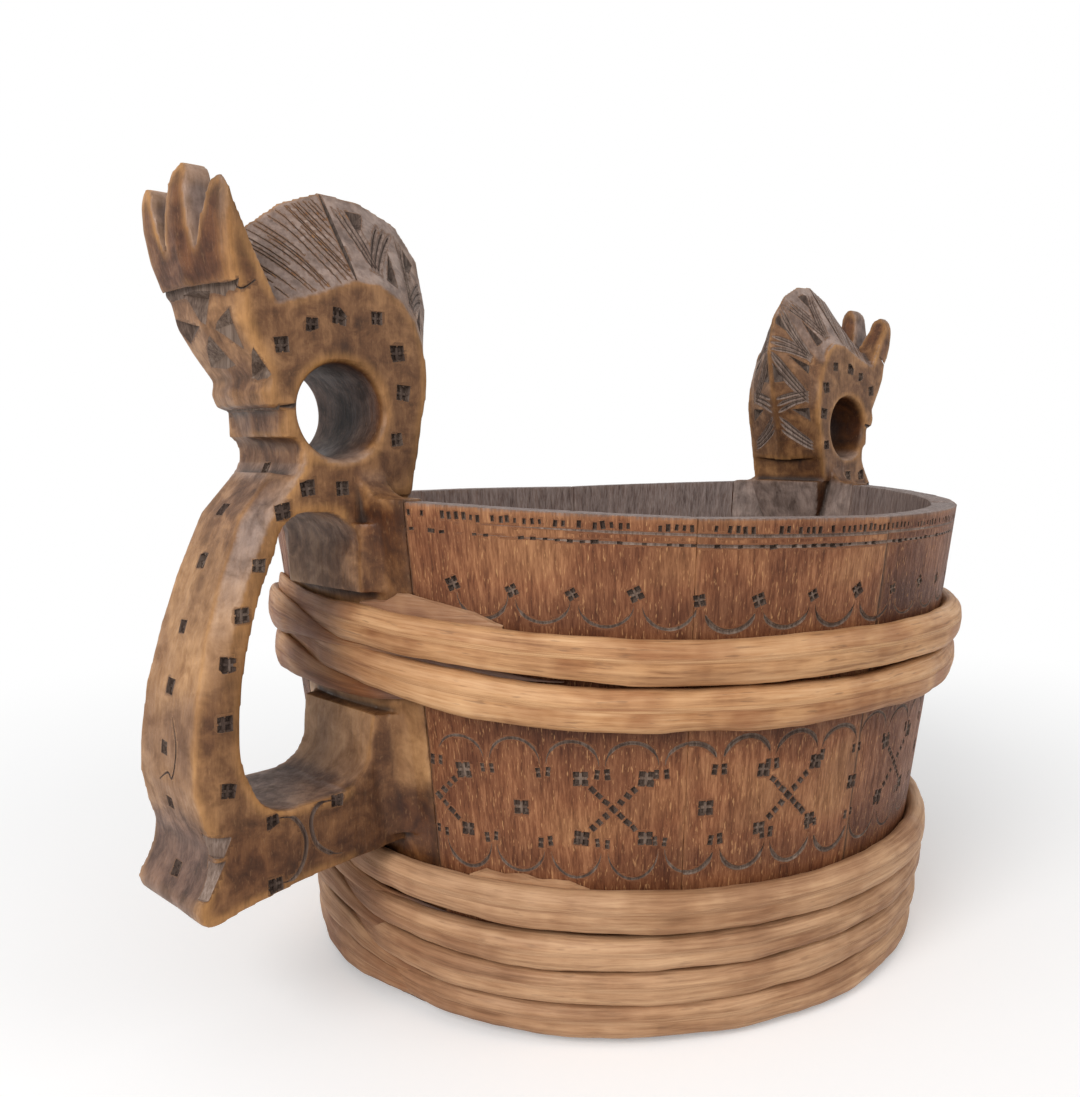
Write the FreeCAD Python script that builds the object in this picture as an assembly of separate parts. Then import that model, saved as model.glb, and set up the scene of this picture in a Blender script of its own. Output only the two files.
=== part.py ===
import FreeCAD, Part
import os
from math import atan, cos, hypot, radians, sin
from FreeCAD import Vector

# Two-handled stave ale bowl, all sizes in millimetres.
# Z is up, the staves stand on Z = 0, and X runs through the two handles.
# The bowl is a cone of staves round a grooved bottom board, bound by split withy hoops.

# Bowl
rimRadius = 111.0
footRadius = 92.5
bowlHeight = 138.0
rimSheer = 4.5
wall = 8.0

# Stave widths, in degrees round the bowl, the same list on the front and on the back
handleStaveWidth = 33.0
plainStaveWidths = [38.5, 30.5, 39.0, 39.0]

# Bottom board and the groove that holds it
boardThickness = 9.0
boardUnderside = 14.0
grooveDepth = 3.0
boardClearance = 0.3

# Hoops; the upper pair is placed from the rim, the lower set from the feet of the staves
upperHoopHeight = 11.2
lowerHoopHeight = 9.8
hoopBulge = 7.6
hoopGap = 0.4
hoopClearance = 0.2
hoopFace = 0.5
upperHoopCount = 2
lowerHoopCount = 4
upperHoopDrop = 28.6
lowerHoopBottom = 1.4

# The lap of a hoop: where it runs, in degrees, how thin the tips are and the gap between the ends
lapStart = -150.0
lapEnd = -216.0
lapTip = 1.2
lapGap = 0.8
lapSteps = 8
lapFlatten = 0.45

# Handles, cut from the same plank as their stave
handleThickness = 35.0
leftCrownTop = 84.0
rightCrownTop = 77.0
leftTwist = 0.09
rightTwist = 0.0
twistFrom = 42.0
leftNeckTrim = -1.2
rightNeckTrim = 4.6
neckHoleRadius = 11.9
neckHoleOut = 3.4
neckHoleUp = 26.3
holeEase = 1.0
crownCrest = 1.6
crownHollow = 4.0
faceCrest = 1.4
faceChamfer = 2.0
edgeFall = 0.6
notchDepth = 20.5
notchPlace = 6.6
tineHalf = 2.9
tineDrop = 4.5
cornerHollow = 6.0
throatDepth = 26.0
shoulderRadius = 8.0
footGap = 2.4

# The gap in the handle stave that the upper hoops pass through
channelUnder = 0.8
channelOver = 8.6
channelTight = 1.2
channelWider = 8.0
loopSink = 4.0

# The neck's inner side stands this far inside the wall at the rim, at its edges and on its ridge
neckEdgeIn = 8.6
neckRidgeIn = 14.0
edgeTrimShare = 0.7
trimStart = 110.0
trimLength = 20.0

# The tips of the crown, seen from in front
notchFlare = 3.7
notchRise = 5.0
tipWidth = 5.6
tipPeak = 3.4
tipDrop = 0.7
edgeRound = 1.2
edgeDrop = 8.0
middleFlare = 0.6
middleRise = 6.0
middleRound = 0.8

# The handle's curves are drawn beside a rim of this size and follow the rim when it changes
drawnRim = 111.0
drawnHeight = 138.0
drawnFoot = 44.0
drawnHalfThick = 17.5
drawnCrownFoot = 193.4

halfThick = handleThickness / 2
slope = (rimRadius - footRadius) / bowlHeight
lowerBandTop = lowerHoopBottom + lowerHoopCount * (lowerHoopHeight + hoopGap) - hoopGap
upperHoopTop = bowlHeight - upperHoopDrop
upperHoopBottom = upperHoopTop - upperHoopCount * (upperHoopHeight + hoopGap) + hoopGap
channelBottom = upperHoopBottom - channelUnder
channelTop = upperHoopTop + channelOver
zAxis = Vector(0, 0, 1)
origin = Vector(0, 0, 0)


def outerRadius(z):
    return footRadius + slope * z


def innerRadius(z):
    return outerRadius(z) - wall


def rimHeight(angle):
    return bowlHeight + rimSheer * abs(cos(radians(angle))) ** 3


def wireOf(points):
    # points are (x, z) pairs; a pair of pairs is an arc through the first to the second
    edges = []
    last = None
    for item in points:
        if isinstance(item[0], tuple):
            middle, end = [Vector(x, 0, z) for x, z in item]
            edges.append(Part.Arc(last, middle, end).toShape())
            last = end
        else:
            here = Vector(item[0], 0, item[1])
            if last is not None:
                edges.append(Part.LineSegment(last, here).toShape())
            last = here
    first = Vector(points[0][0], 0, points[0][1])
    if last.distanceToPoint(first) > 1e-6:
        edges.append(Part.LineSegment(last, first).toShape())
    return Part.Wire(edges)


def slab(points, half):
    # a flat plate of the outline, half as thick on each side of the plane y = 0
    face = Part.Face(wireOf(points))
    face.translate(Vector(0, -half, 0))
    return face.extrude(Vector(0, 2 * half, 0))


def frontPrism(points, start, reach):
    # an outline of (y, z) pairs carried along X
    face = Part.Face(wireOf(points))
    face.rotate(origin, zAxis, 90)
    face.translate(Vector(start, 0, 0))
    return face.extrude(Vector(reach, 0, 0))


def turned(points, startAngle, sweep):
    face = Part.Face(wireOf(points))
    solid = face.revolve(origin, zAxis, sweep)
    solid.rotate(origin, zAxis, startAngle)
    return solid


def loftOf(sections):
    wires = [Part.makePolygon(corners + [corners[0]]) for corners in sections]
    return Part.makeLoft(wires, True, True)


# Bowl: plain staves and the bottom board

def wallProfile(top):
    under = boardUnderside
    over = boardUnderside + boardThickness + boardClearance
    grooved = innerRadius(under) + grooveDepth
    return [
        (innerRadius(0), 0),
        (outerRadius(0), 0),
        (outerRadius(top), top),
        (innerRadius(top), top),
        (innerRadius(over), over),
        (grooved, over),
        (grooved, under),
        (innerRadius(under), under),
    ]


def trimRim(solid, startAngle, endAngle):
    # the top of a stave is one straight cut between its two seam heights
    top = []
    for angle in (startAngle, endAngle):
        a = radians(angle)
        top.append(Vector(rimRadius * cos(a), rimRadius * sin(a), rimHeight(angle)))
    along = top[1] - top[0]
    middle = radians((startAngle + endAngle) / 2)
    outward = Vector(cos(middle), sin(middle), 0)
    upward = outward.cross(along)
    if upward.z < 0:
        upward = upward * -1
    upward.normalize()
    reach = 2 * rimRadius
    across = upward.cross(outward)
    centre = (top[0] + top[1]) * 0.5
    corners = []
    for p, q in ((-1, -1), (1, -1), (1, 1), (-1, 1)):
        corners.append(centre + outward * (p * reach) + across * (q * reach))
    cutter = Part.Face(Part.makePolygon(corners + [corners[0]])).extrude(upward * reach)
    return solid.cut(cutter)


def plainStave(startAngle, width):
    blank = turned(wallProfile(bowlHeight + 2 * rimSheer), startAngle, width)
    return trimRim(blank, startAngle, startAngle + width)


def bottomBoard():
    radius = innerRadius(boardUnderside) + grooveDepth - boardClearance
    return Part.makeCylinder(radius, boardThickness, Vector(0, 0, boardUnderside))


# Handle, drawn for the right side; x is the distance out from the bowl's axis

def spot(x, z):
    # the head keeps its size above the rim, and the grip stretches down to the lower hoops
    out = x + rimRadius - drawnRim
    if z >= drawnHeight:
        return (out, z + bowlHeight - drawnHeight)
    share = (drawnHeight - z) / (drawnHeight - drawnFoot)
    return (out, bowlHeight - share * (bowlHeight - lowerBandTop - footGap))


def placed(outline):
    result = []
    for item in outline:
        if isinstance(item[0], tuple):
            result.append((spot(*item[0]), spot(*item[1])))
        else:
            result.append(spot(*item))
    return result


def plateOutline(trim):
    # trim moves the neck's inner edge out or in, above the rim
    tuck = 5.0
    low = spot(0, 50.0)[1]
    inset = edgeTrimShare * trim
    edge = [
        (104.8, 49.0),
        (127.5, 46.9),
        (142.9, 44.0),
        (149.2, 42.2),
        ((154.6, 44.2), (153.6, 49.2)),
        ((150.4, 58.5), (150.6, 64.0)),
        ((150.6, 77.0), (147.9, 92.0)),
        ((145.0, 111.5), (135.6, 135.5)),
        ((132.2, 141.0), (127.3, 147.5)),
        (125.4, 151.5),
        (125.4, 153.6),
        ((126.2, 156.4), (128.0, 157.6)),
        (128.0, 164.1),
        (130.7, 189.1),
        ((120.4, 192.3), (110.1, 196.5)),
        ((101.0, 195.8), (94.2 + inset, 189.0)),
        ((90.2 + inset, 178.0), (91.6 + inset, 162.5)),
        (93.4 + inset, 152.0),
        (96.0 + inset, 138.0),
    ]
    start = (outerRadius(low) - tuck, low)
    return [start] + placed(edge)


def headStations():
    # up the outer face of the head, then down the inner side of the block
    face = [
        (128.4, 157.6),
        (129.2, 164.1),
        (132.8, 165.3),
        (133.9, 168.4),
        (133.0, 171.8),
        (137.5, 178.8),
        (140.6, 184.8),
        (141.6, 191.0),
        (143.6, 193.4),
        (145.6, 200.0),
        (146.5, 207.0),
        (146.4, 213.0),
        (145.6, 218.0),
        (144.2, 222.0),
    ]
    inner = [
        (143.6, 222.0),
        (141.4, 212.0),
        (136.0, 199.8),
        (130.7, 189.1),
        (125.4, 164.3),
        (125.4, 157.6),
    ]
    return face, inner


def headSection(y, raised, crownTop, twist):
    # raised is 1 on the crest down the middle of the face, 0 beside it and -1 at the edges
    face, inner = headStations()
    grow = (drawnHeight + crownTop - drawnCrownFoot) / (face[-1][1] - drawnCrownFoot)
    hollowFoot = inner[3][1]
    corners = []
    for x, z in face:
        inCrown = z > drawnCrownFoot - 1
        lift = raised * (crownCrest if inCrown else faceCrest)
        if raised < 0:
            lift = raised * edgeFall * faceChamfer
        if z > drawnHeight:
            lift -= twist * (z - drawnHeight - twistFrom) * y / halfThick
        corners.append((x + lift, z))
    for x, z in inner:
        # the inner side of the crown stands thicker in the middle
        rise = max(0.0, (z - hollowFoot) / (inner[0][1] - hollowFoot))
        corners.append((x - crownHollow * rise * max(0, raised), z))
    points = []
    for x, z in corners:
        if z > drawnCrownFoot:
            z = drawnCrownFoot + (z - drawnCrownFoot) * grow
        out, up = spot(x, z)
        points.append(Vector(out, y, up))
    return points


def headSolid(crownTop, twist):
    chamferAt = halfThick - faceChamfer
    places = ((-halfThick, -1), (-chamferAt, 0), (0, 1), (chamferAt, 0), (halfThick, -1))
    return loftOf([headSection(y, raised, crownTop, twist) for y, raised in places])


def tineOutline(crownTop):
    # the crown seen from in front: three tines with two notches between them
    top = bowlHeight + crownTop
    outer = top - tineDrop
    floor = top - notchDepth
    half = halfThick
    shoulder = outer - notchRise
    edge = outer - edgeDrop
    bend = outer - edgeDrop * 0.28
    flank = top - middleRise
    right = [
        (notchPlace, floor),
        (notchPlace + notchFlare, shoulder),
        ((half - tipWidth, outer - tipDrop), (half - tipPeak, outer)),
        ((half - edgeRound, bend), (half, edge)),
        (half, bowlHeight),
    ]
    middle = [
        (-notchPlace, floor),
        (-tineHalf - middleFlare, flank),
        ((-tineHalf + middleRound, top - tipDrop - 0.4), (0.0, top)),
        ((tineHalf - middleRound, top - tipDrop - 0.4), (tineHalf + middleFlare, flank)),
    ]
    left = [
        (-half, bowlHeight),
        (-half, edge),
        ((edgeRound - half, bend), (tipPeak - half, outer)),
        ((tipWidth - half, outer - tipDrop), (-notchPlace - notchFlare, shoulder)),
    ]
    return left + middle + right


def ridgeStations():
    # down the neck: the edge of the flat side and the ridge in the middle
    return [
        ((133.0, 188.4), (134.0, 207.0)),
        ((120.4, 192.3), (121.4, 216.6)),
        ((110.1, 196.5), (110.6, 221.0)),
        ((103.6, 196.2), (99.6, 220.6)),
        ((97.6, 192.6), (88.4, 216.0)),
        ((93.6, 187.4), (81.4, 207.4)),
        ((91.4, 181.6), (78.6, 194.0)),
        ((90.6, 171.6), (81.6, 177.0)),
        ((91.8, 161.6), (85.6, 163.0)),
        ((93.4, 152.0), (88.6, 151.0)),
    ]


def sunkFoot(edge, face, sink=3.0):
    # the point below the edge, inside the plate, where a section is rooted
    dx = face[0] - edge[0]
    dz = face[1] - edge[1]
    length = hypot(dx, dz)
    return (edge[0] - dx / length * sink, edge[1] - dz / length * sink)


def ridgeSection(edge, ridge):
    half = halfThick
    base = sunkFoot(edge, ridge)
    return [
        Vector(base[0], -half, base[1]),
        Vector(base[0], half, base[1]),
        Vector(edge[0], half, edge[1]),
        Vector(ridge[0], 0, ridge[1]),
        Vector(edge[0], -half, edge[1]),
    ]


def neckRidge(trim):
    sections = []
    for edge, ridge in ridgeStations():
        share = min(1.0, max(0.0, (trimStart - ridge[0]) / trimLength))
        edgePoint = spot(edge[0] + edgeTrimShare * trim * share, edge[1])
        ridgePoint = spot(ridge[0] + trim * share, ridge[1])
        sections.append(ridgeSection(edgePoint, ridgePoint))
    front = loftOf(sections[:3])
    back = loftOf(sections[2:])
    return front.fuse(back)


def throat(trim):
    # below the rim the neck's inner face dies away into the wall of the bowl
    # each station: height from the rim, how far it has died away, half its width, share of the trim
    stations = [
        (5.0, 0.0, 16.5, 1.0),
        (-6.0, 3.2, 14.5, 0.8),
        (-16.0, 6.4, 10.5, 0.3),
        (-throatDepth, 10.6, 5.0, 0.0),
    ]
    atRim = innerRadius(bowlHeight)
    sections = []
    for up, fade, half, share in stations:
        z = bowlHeight + up
        base = innerRadius(z) + 0.6 * wall
        side = atRim - neckEdgeIn + fade
        crest = atRim - neckRidgeIn + trim * share + 1.4 * fade
        crest = min(crest, innerRadius(z) + 0.2 * wall)
        side = min(side, innerRadius(z) + 0.4 * wall)
        sections.append([
            Vector(base, -half, z),
            Vector(base, half, z),
            Vector(side, half, z),
            Vector(min(crest, side), 0, z),
            Vector(side, -half, z),
        ])
    return loftOf(sections)


def gripStations():
    # down the grip: the edge of the flat side, the outer face, and half the width of that face
    return [
        ((127.0, 148.0), (130.0, 149.0), 9.6),
        ((135.0, 137.0), (138.8, 138.6), 10.9),
        ((141.0, 123.0), (144.6, 124.2), 11.9),
        ((144.9, 110.0), (148.9, 110.8), 12.9),
        ((147.3, 96.0), (152.4, 96.4), 14.6),
        ((149.0, 84.0), (154.0, 84.0), 15.4),
        ((150.2, 74.0), (154.2, 74.0), 15.8),
        ((150.0, 66.0), (152.4, 66.0), 16.2),
        ((149.6, 60.0), (150.5, 60.0), 16.6),
    ]


def gripSection(edge, face, halfFace):
    base = sunkFoot(edge, face)
    half = halfThick
    return [
        Vector(base[0], -half, base[1]),
        Vector(base[0], half, base[1]),
        Vector(edge[0], half, edge[1]),
        Vector(face[0], halfFace, face[1]),
        Vector(face[0], -halfFace, face[1]),
        Vector(edge[0], -half, edge[1]),
    ]


def gripFace():
    widthShare = halfThick / drawnHalfThick
    sections = []
    for edge, face, halfFace in gripStations():
        sections.append(gripSection(spot(*edge), spot(*face), halfFace * widthShare))
    return loftOf(sections)


def openingOutline():
    inside = outerRadius(upperHoopBottom) - loopSink
    upperBlock = spot(111.0, 118.0)[0]
    lowerBlock = spot(107.4, 86.0)[0]
    curve = [
        (111.3, 128.0),
        ((113.8, 136.4), (121.7, 139.0)),
        ((129.4, 137.6), (133.0, 130.4)),
        ((141.2, 106.0), (143.4, 86.0)),
        ((142.9, 79.4), (140.7, 73.7)),
        ((136.6, 67.6), (128.0, 66.2)),
        (119.0, 66.4),
        ((112.6, 68.4), (108.6, 74.2)),
    ]
    start = [(inside, channelTop), (upperBlock, channelTop)]
    return start + placed(curve) + [(lowerBlock, channelBottom), (inside, channelBottom)]


def hoopChannel():
    # clears the stave's own outer face where the upper hoops lie
    depth = 2 * hoopBulge - channelTight
    points = [
        (outerRadius(channelBottom), channelBottom),
        (outerRadius(channelBottom) + depth, channelBottom),
        (outerRadius(channelTop) + depth, channelTop),
        (outerRadius(channelTop), channelTop),
    ]
    sweep = handleStaveWidth + 2 * channelWider
    return turned(points, -sweep / 2, sweep)


def cornerBand(side):
    # hollow corner between the flat side of the handle and the round of the stave
    bury = 2.0
    belly = 0.3 * cornerHollow
    sections = []
    for z in (spot(0, 52.0)[1], bowlHeight - bury):
        square = outerRadius(z) ** 2
        edge = halfThick + cornerHollow
        onSide = (square - halfThick ** 2) ** 0.5
        onStave = (square - edge ** 2) ** 0.5
        corners = [
            (onSide - bury, halfThick - bury),
            (onSide + cornerHollow, halfThick - bury),
            (onSide + cornerHollow, halfThick),
            (onSide + belly, halfThick + belly),
            (onStave, edge),
            (onStave - bury, edge),
        ]
        sections.append([Vector(x, side * y, z) for x, y in corners])
    return loftOf(sections)


def shoulderCut(side):
    # the rim of the stave sweeps up into the neck in a hollow curve
    rim = rimHeight(0)
    near = halfThick
    far = halfThick + shoulderRadius
    bend = shoulderRadius * (1 - cos(radians(45)))
    wide = rimRadius
    return frontPrism([
        (side * near, rim + 3 * shoulderRadius),
        (side * near, rim + shoulderRadius),
        ((side * (near + bend), rim + bend), (side * far, rim)),
        (side * wide, rim),
        (side * wide, rim + 3 * shoulderRadius),
    ], 0, 2 * rimRadius)


def neckHole():
    place = Vector(rimRadius + neckHoleOut, -2 * handleThickness, bowlHeight + neckHoleUp)
    hole = Part.makeCylinder(neckHoleRadius, 4 * handleThickness, place, Vector(0, 1, 0))
    for side in (-1, 1):
        start = Vector(place.x, side * (halfThick - 2 * holeEase), place.z)
        ease = Part.makeCone(neckHoleRadius, neckHoleRadius + 2 * holeEase, 4 * holeEase,
                             start, Vector(0, side, 0))
        hole = hole.fuse(ease)
    return hole


def bowlInside():
    top = rimHeight(0) + 0.2
    points = [(0, -1), (innerRadius(-1), -1), (innerRadius(top), top), (0, top)]
    return turned(points, -60, 120)


def handleStave(middleAngle, crownTop, twist, trim):
    start = -handleStaveWidth / 2
    shell = turned(wallProfile(rimHeight(0) + shoulderRadius), start, handleStaveWidth)
    plate = slab(plateOutline(trim), halfThick)
    plate = plate.fuse([neckRidge(trim), gripFace()])
    head = headSolid(crownTop, twist).common(frontPrism(tineOutline(crownTop), 0, 2 * rimRadius))
    plate = plate.fuse(head)
    for side in (-1, 1):
        shell = shell.cut(shoulderCut(side))
        plate = plate.fuse(cornerBand(side))
    plate = plate.cut(neckHole())
    plate = plate.cut(slab(openingOutline(), 2 * halfThick))
    plate = plate.cut(hoopChannel())
    plate = plate.cut(bowlInside())
    solid = shell.fuse([plate, throat(trim)]).removeSplitter()
    solid.rotate(origin, zAxis, middleAngle)
    return solid


# Hoops, each one split rod with its two thinned ends lapped beside the left handle

def hoopSection(zMiddle, height, bulge, angle, spare=0.0):
    # a split rod: flat against the wall, and shaved to a narrower flat outside
    half = height / 2
    tilt = atan(slope)
    shape = [(0, -1), (0, 1), (1, hoopFace), (1, -hoopFace)]
    corners = []
    for across, up in shape:
        out = hoopClearance + spare + across * bulge
        r = outerRadius(zMiddle) + out * cos(tilt) + up * half * sin(tilt)
        z = zMiddle + up * half * cos(tilt) - across * bulge * sin(tilt)
        corners.append(Vector(r * cos(radians(angle)), r * sin(radians(angle)), z))
    return corners


def lapSections(zMiddle, height, direction):
    # one end of the rod, thinned along the lap; direction is 1 for the upper end
    thinning = height + lapGap
    lapShare = (height - lapTip) / thinning
    turn = (lapEnd - lapStart) * lapShare / lapSteps
    # straight steps cut inside the circle, so their corners stand out by that much
    spare = outerRadius(zMiddle) * (1 / cos(radians(turn / 2)) - 1)
    sections = []
    for i in range(lapSteps + 1):
        share = lapShare * i / lapSteps
        angle = lapStart + turn * i if direction > 0 else lapEnd - turn * i
        thin = height - thinning * share
        middle = zMiddle + direction * (height - thin) / 2
        bulge = hoopBulge * (1 - lapFlatten * share)
        sections.append(hoopSection(middle, thin, bulge, angle, spare if i else 0.0))
    return sections


def edgePoints(sections, corner):
    # points along one long edge of a tapered end
    points = []
    pieces = 10
    for first, second in zip(sections, sections[1:]):
        for k in range(pieces):
            points.append(first[corner] + (second[corner] - first[corner]) * (k / pieces))
    return points + [sections[-1][corner]]


def leastGap(upper, lower):
    # between the edges of the two ends that face each other across the lap
    gaps = []
    for below, above in ((0, 1), (3, 2)):
        for a in edgePoints(upper, below):
            gaps.append(min(a.distanceToPoint(b) for b in edgePoints(lower, above)))
    return min(gaps)


def hoop(name, zMiddle, height):
    start = hoopSection(zMiddle, height, hoopBulge, lapStart)
    face = Part.Face(Part.makePolygon(start + [start[0]]))
    ring = face.revolve(origin, zAxis, 360 + lapEnd - lapStart)
    upper = lapSections(zMiddle, height, 1)
    lower = lapSections(zMiddle, height, -1)
    print(name, "least gap to itself", round(leastGap(upper, lower), 2))
    return ring.fuse([loftOf(upper), loftOf(lower)]).removeSplitter()


def hoopMiddles(bottom, height, count):
    return [bottom + height / 2 + i * (height + hoopGap) for i in range(count)]


def buildAll():
    nodes = {}
    nodes["handle_stave_left"] = handleStave(180, leftCrownTop, leftTwist, leftNeckTrim)
    nodes["handle_stave_right"] = handleStave(0, rightCrownTop, rightTwist, rightNeckTrim)
    start = handleStaveWidth / 2 - 180
    for number, width in enumerate(plainStaveWidths, 1):
        nodes["front_stave_%d" % number] = plainStave(start, width)
        start += width
    start = 180 - handleStaveWidth / 2
    for number, width in enumerate(plainStaveWidths, 1):
        nodes["back_stave_%d" % number] = plainStave(start - width, width)
        start -= width
    nodes["bottom_board"] = bottomBoard()
    for number, middle in enumerate(hoopMiddles(lowerHoopBottom, lowerHoopHeight, lowerHoopCount), 1):
        name = "lower_hoop_%d" % number
        nodes[name] = hoop(name, middle, lowerHoopHeight)
    for number, middle in enumerate(hoopMiddles(upperHoopBottom, upperHoopHeight, upperHoopCount), 1):
        name = "upper_hoop_%d" % number
        nodes[name] = hoop(name, middle, upperHoopHeight)
    return nodes


os.makedirs("parts", exist_ok=True)
for name, shape in buildAll().items():
    solids = shape.Solids
    print(name, "solids", len(solids), "valid", shape.isValid(), "volume", round(shape.Volume))
    if len(solids) == 1:
        shape = solids[0]
    shape.exportStep("parts/" + name + ".step")
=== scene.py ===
import math
import random
from functools import reduce

import bmesh
import bpy
from mathutils import Matrix, Vector, noise
from mathutils.bvhtree import BVHTree
import numpy as np


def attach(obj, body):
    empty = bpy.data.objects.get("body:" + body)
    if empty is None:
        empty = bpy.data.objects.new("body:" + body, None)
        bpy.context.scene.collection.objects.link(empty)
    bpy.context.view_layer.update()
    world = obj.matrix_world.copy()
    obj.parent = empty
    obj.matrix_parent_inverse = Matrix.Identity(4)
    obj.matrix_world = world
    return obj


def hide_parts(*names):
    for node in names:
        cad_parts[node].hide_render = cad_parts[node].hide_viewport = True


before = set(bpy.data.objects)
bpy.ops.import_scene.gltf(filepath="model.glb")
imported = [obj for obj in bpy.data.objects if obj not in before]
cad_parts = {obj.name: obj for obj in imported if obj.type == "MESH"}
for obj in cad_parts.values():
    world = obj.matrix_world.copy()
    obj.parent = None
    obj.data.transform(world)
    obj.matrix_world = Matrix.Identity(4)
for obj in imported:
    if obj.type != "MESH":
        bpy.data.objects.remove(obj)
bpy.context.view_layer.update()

mm = 0.001


def toPoint(x, y, z):
    return Vector((x * mm, y * mm, z * mm))


def show(data, name):  # puts a mesh, a lamp or a camera into the scene as an object at the origin
    thing = bpy.data.objects.new(name, data)
    bpy.context.scene.collection.objects.link(thing)
    return thing


def evaluated(thing):  # the object's mesh with its modifiers applied
    graph = bpy.context.evaluated_depsgraph_get()
    return bpy.data.meshes.new_from_object(thing.evaluated_get(graph))


def discard(thing):
    bpy.data.objects.remove(thing)


# small helpers that build node trees

def addNode(tree, kind, inputs=None, **settings):
    node = tree.nodes.new(kind)
    for name, value in settings.items():
        setattr(node, name, value)
    for key, value in (inputs or {}).items():
        if isinstance(value, bpy.types.NodeSocket):
            tree.links.new(value, node.inputs[key])
        else:
            node.inputs[key].default_value = value
    return node


def made(tree, kind, inputs=None, **settings):  # the new node's first output
    return addNode(tree, kind, inputs, **settings).outputs[0]


def maths(tree, operation, first, second=0.0, third=0.0):
    return made(tree, "ShaderNodeMath", {0: first, 1: second, 2: third}, operation=operation)


def times(tree, *values):
    return reduce(lambda first, second: maths(tree, "MULTIPLY", first, second), values)


def plus(tree, *values):
    return reduce(lambda first, second: maths(tree, "ADD", first, second), values)


def vectorMath(tree, operation, first, second):
    return made(tree, "ShaderNodeVectorMath", {0: first, 1: second}, operation=operation)


def ease(tree, value, start, end, low, high):  # smooth change from low to high
    inputs = {"Value": value, "From Min": start, "From Max": end, "To Min": low, "To Max": high}
    node = addNode(tree, "ShaderNodeMapRange", inputs, interpolation_type="SMOOTHSTEP")
    return node.outputs["Result"]


def blendColors(tree, mode, amount, first, second):
    node = addNode(tree, "ShaderNodeMix", data_type="RGBA", blend_type=mode)
    for place, value in ((0, amount), (6, first), (7, second)):
        if isinstance(value, bpy.types.NodeSocket):
            tree.links.new(value, node.inputs[place])
        else:
            node.inputs[place].default_value = value if place == 0 else (*value, 1.0)
    return node.outputs[2]


def rampColors(tree, value, stops):
    node = addNode(tree, "ShaderNodeValToRGB", {0: value})
    elements = node.color_ramp.elements
    while len(elements) < len(stops):
        elements.new(0.5)
    for element, (place, color) in zip(elements, stops):
        element.position = place
        element.color = (*color, 1.0)
    return node.outputs[0]


def grainNoise(tree, coords, scale, detail=4.0, roughness=0.6, distortion=0.0):
    inputs = {"Vector": coords, "Scale": scale, "Detail": detail,
              "Roughness": roughness, "Distortion": distortion}
    return made(tree, "ShaderNodeTexNoise", inputs)


def readAttribute(tree, name):
    return addNode(tree, "ShaderNodeAttribute", attribute_name=name).outputs["Fac"]


# woods

def woodCoords(tree, look):  # grain runs along z, or along the rod on the hoops
    number = readAttribute(tree, "rod")
    if look["grain"] == "rod":
        lane = times(tree, number, 0.37)
        inputs = {0: readAttribute(tree, "around"), 1: lane, 2: readAttribute(tree, "along")}
        return made(tree, "ShaderNodeCombineXYZ", inputs)
    shift = made(tree, "ShaderNodeCombineXYZ", {2: times(tree, number, 0.61)})
    place = addNode(tree, "ShaderNodeTexCoord").outputs["Object"]
    return vectorMath(tree, "ADD", place, shift)


def stretched(tree, coords, look, amount):  # the same coordinates, drawn out along the grain
    scale = [1.0, 1.0, 1.0]
    scale["xyz".find(look["grain"])] = amount
    return vectorMath(tree, "MULTIPLY", coords, scale)


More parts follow.
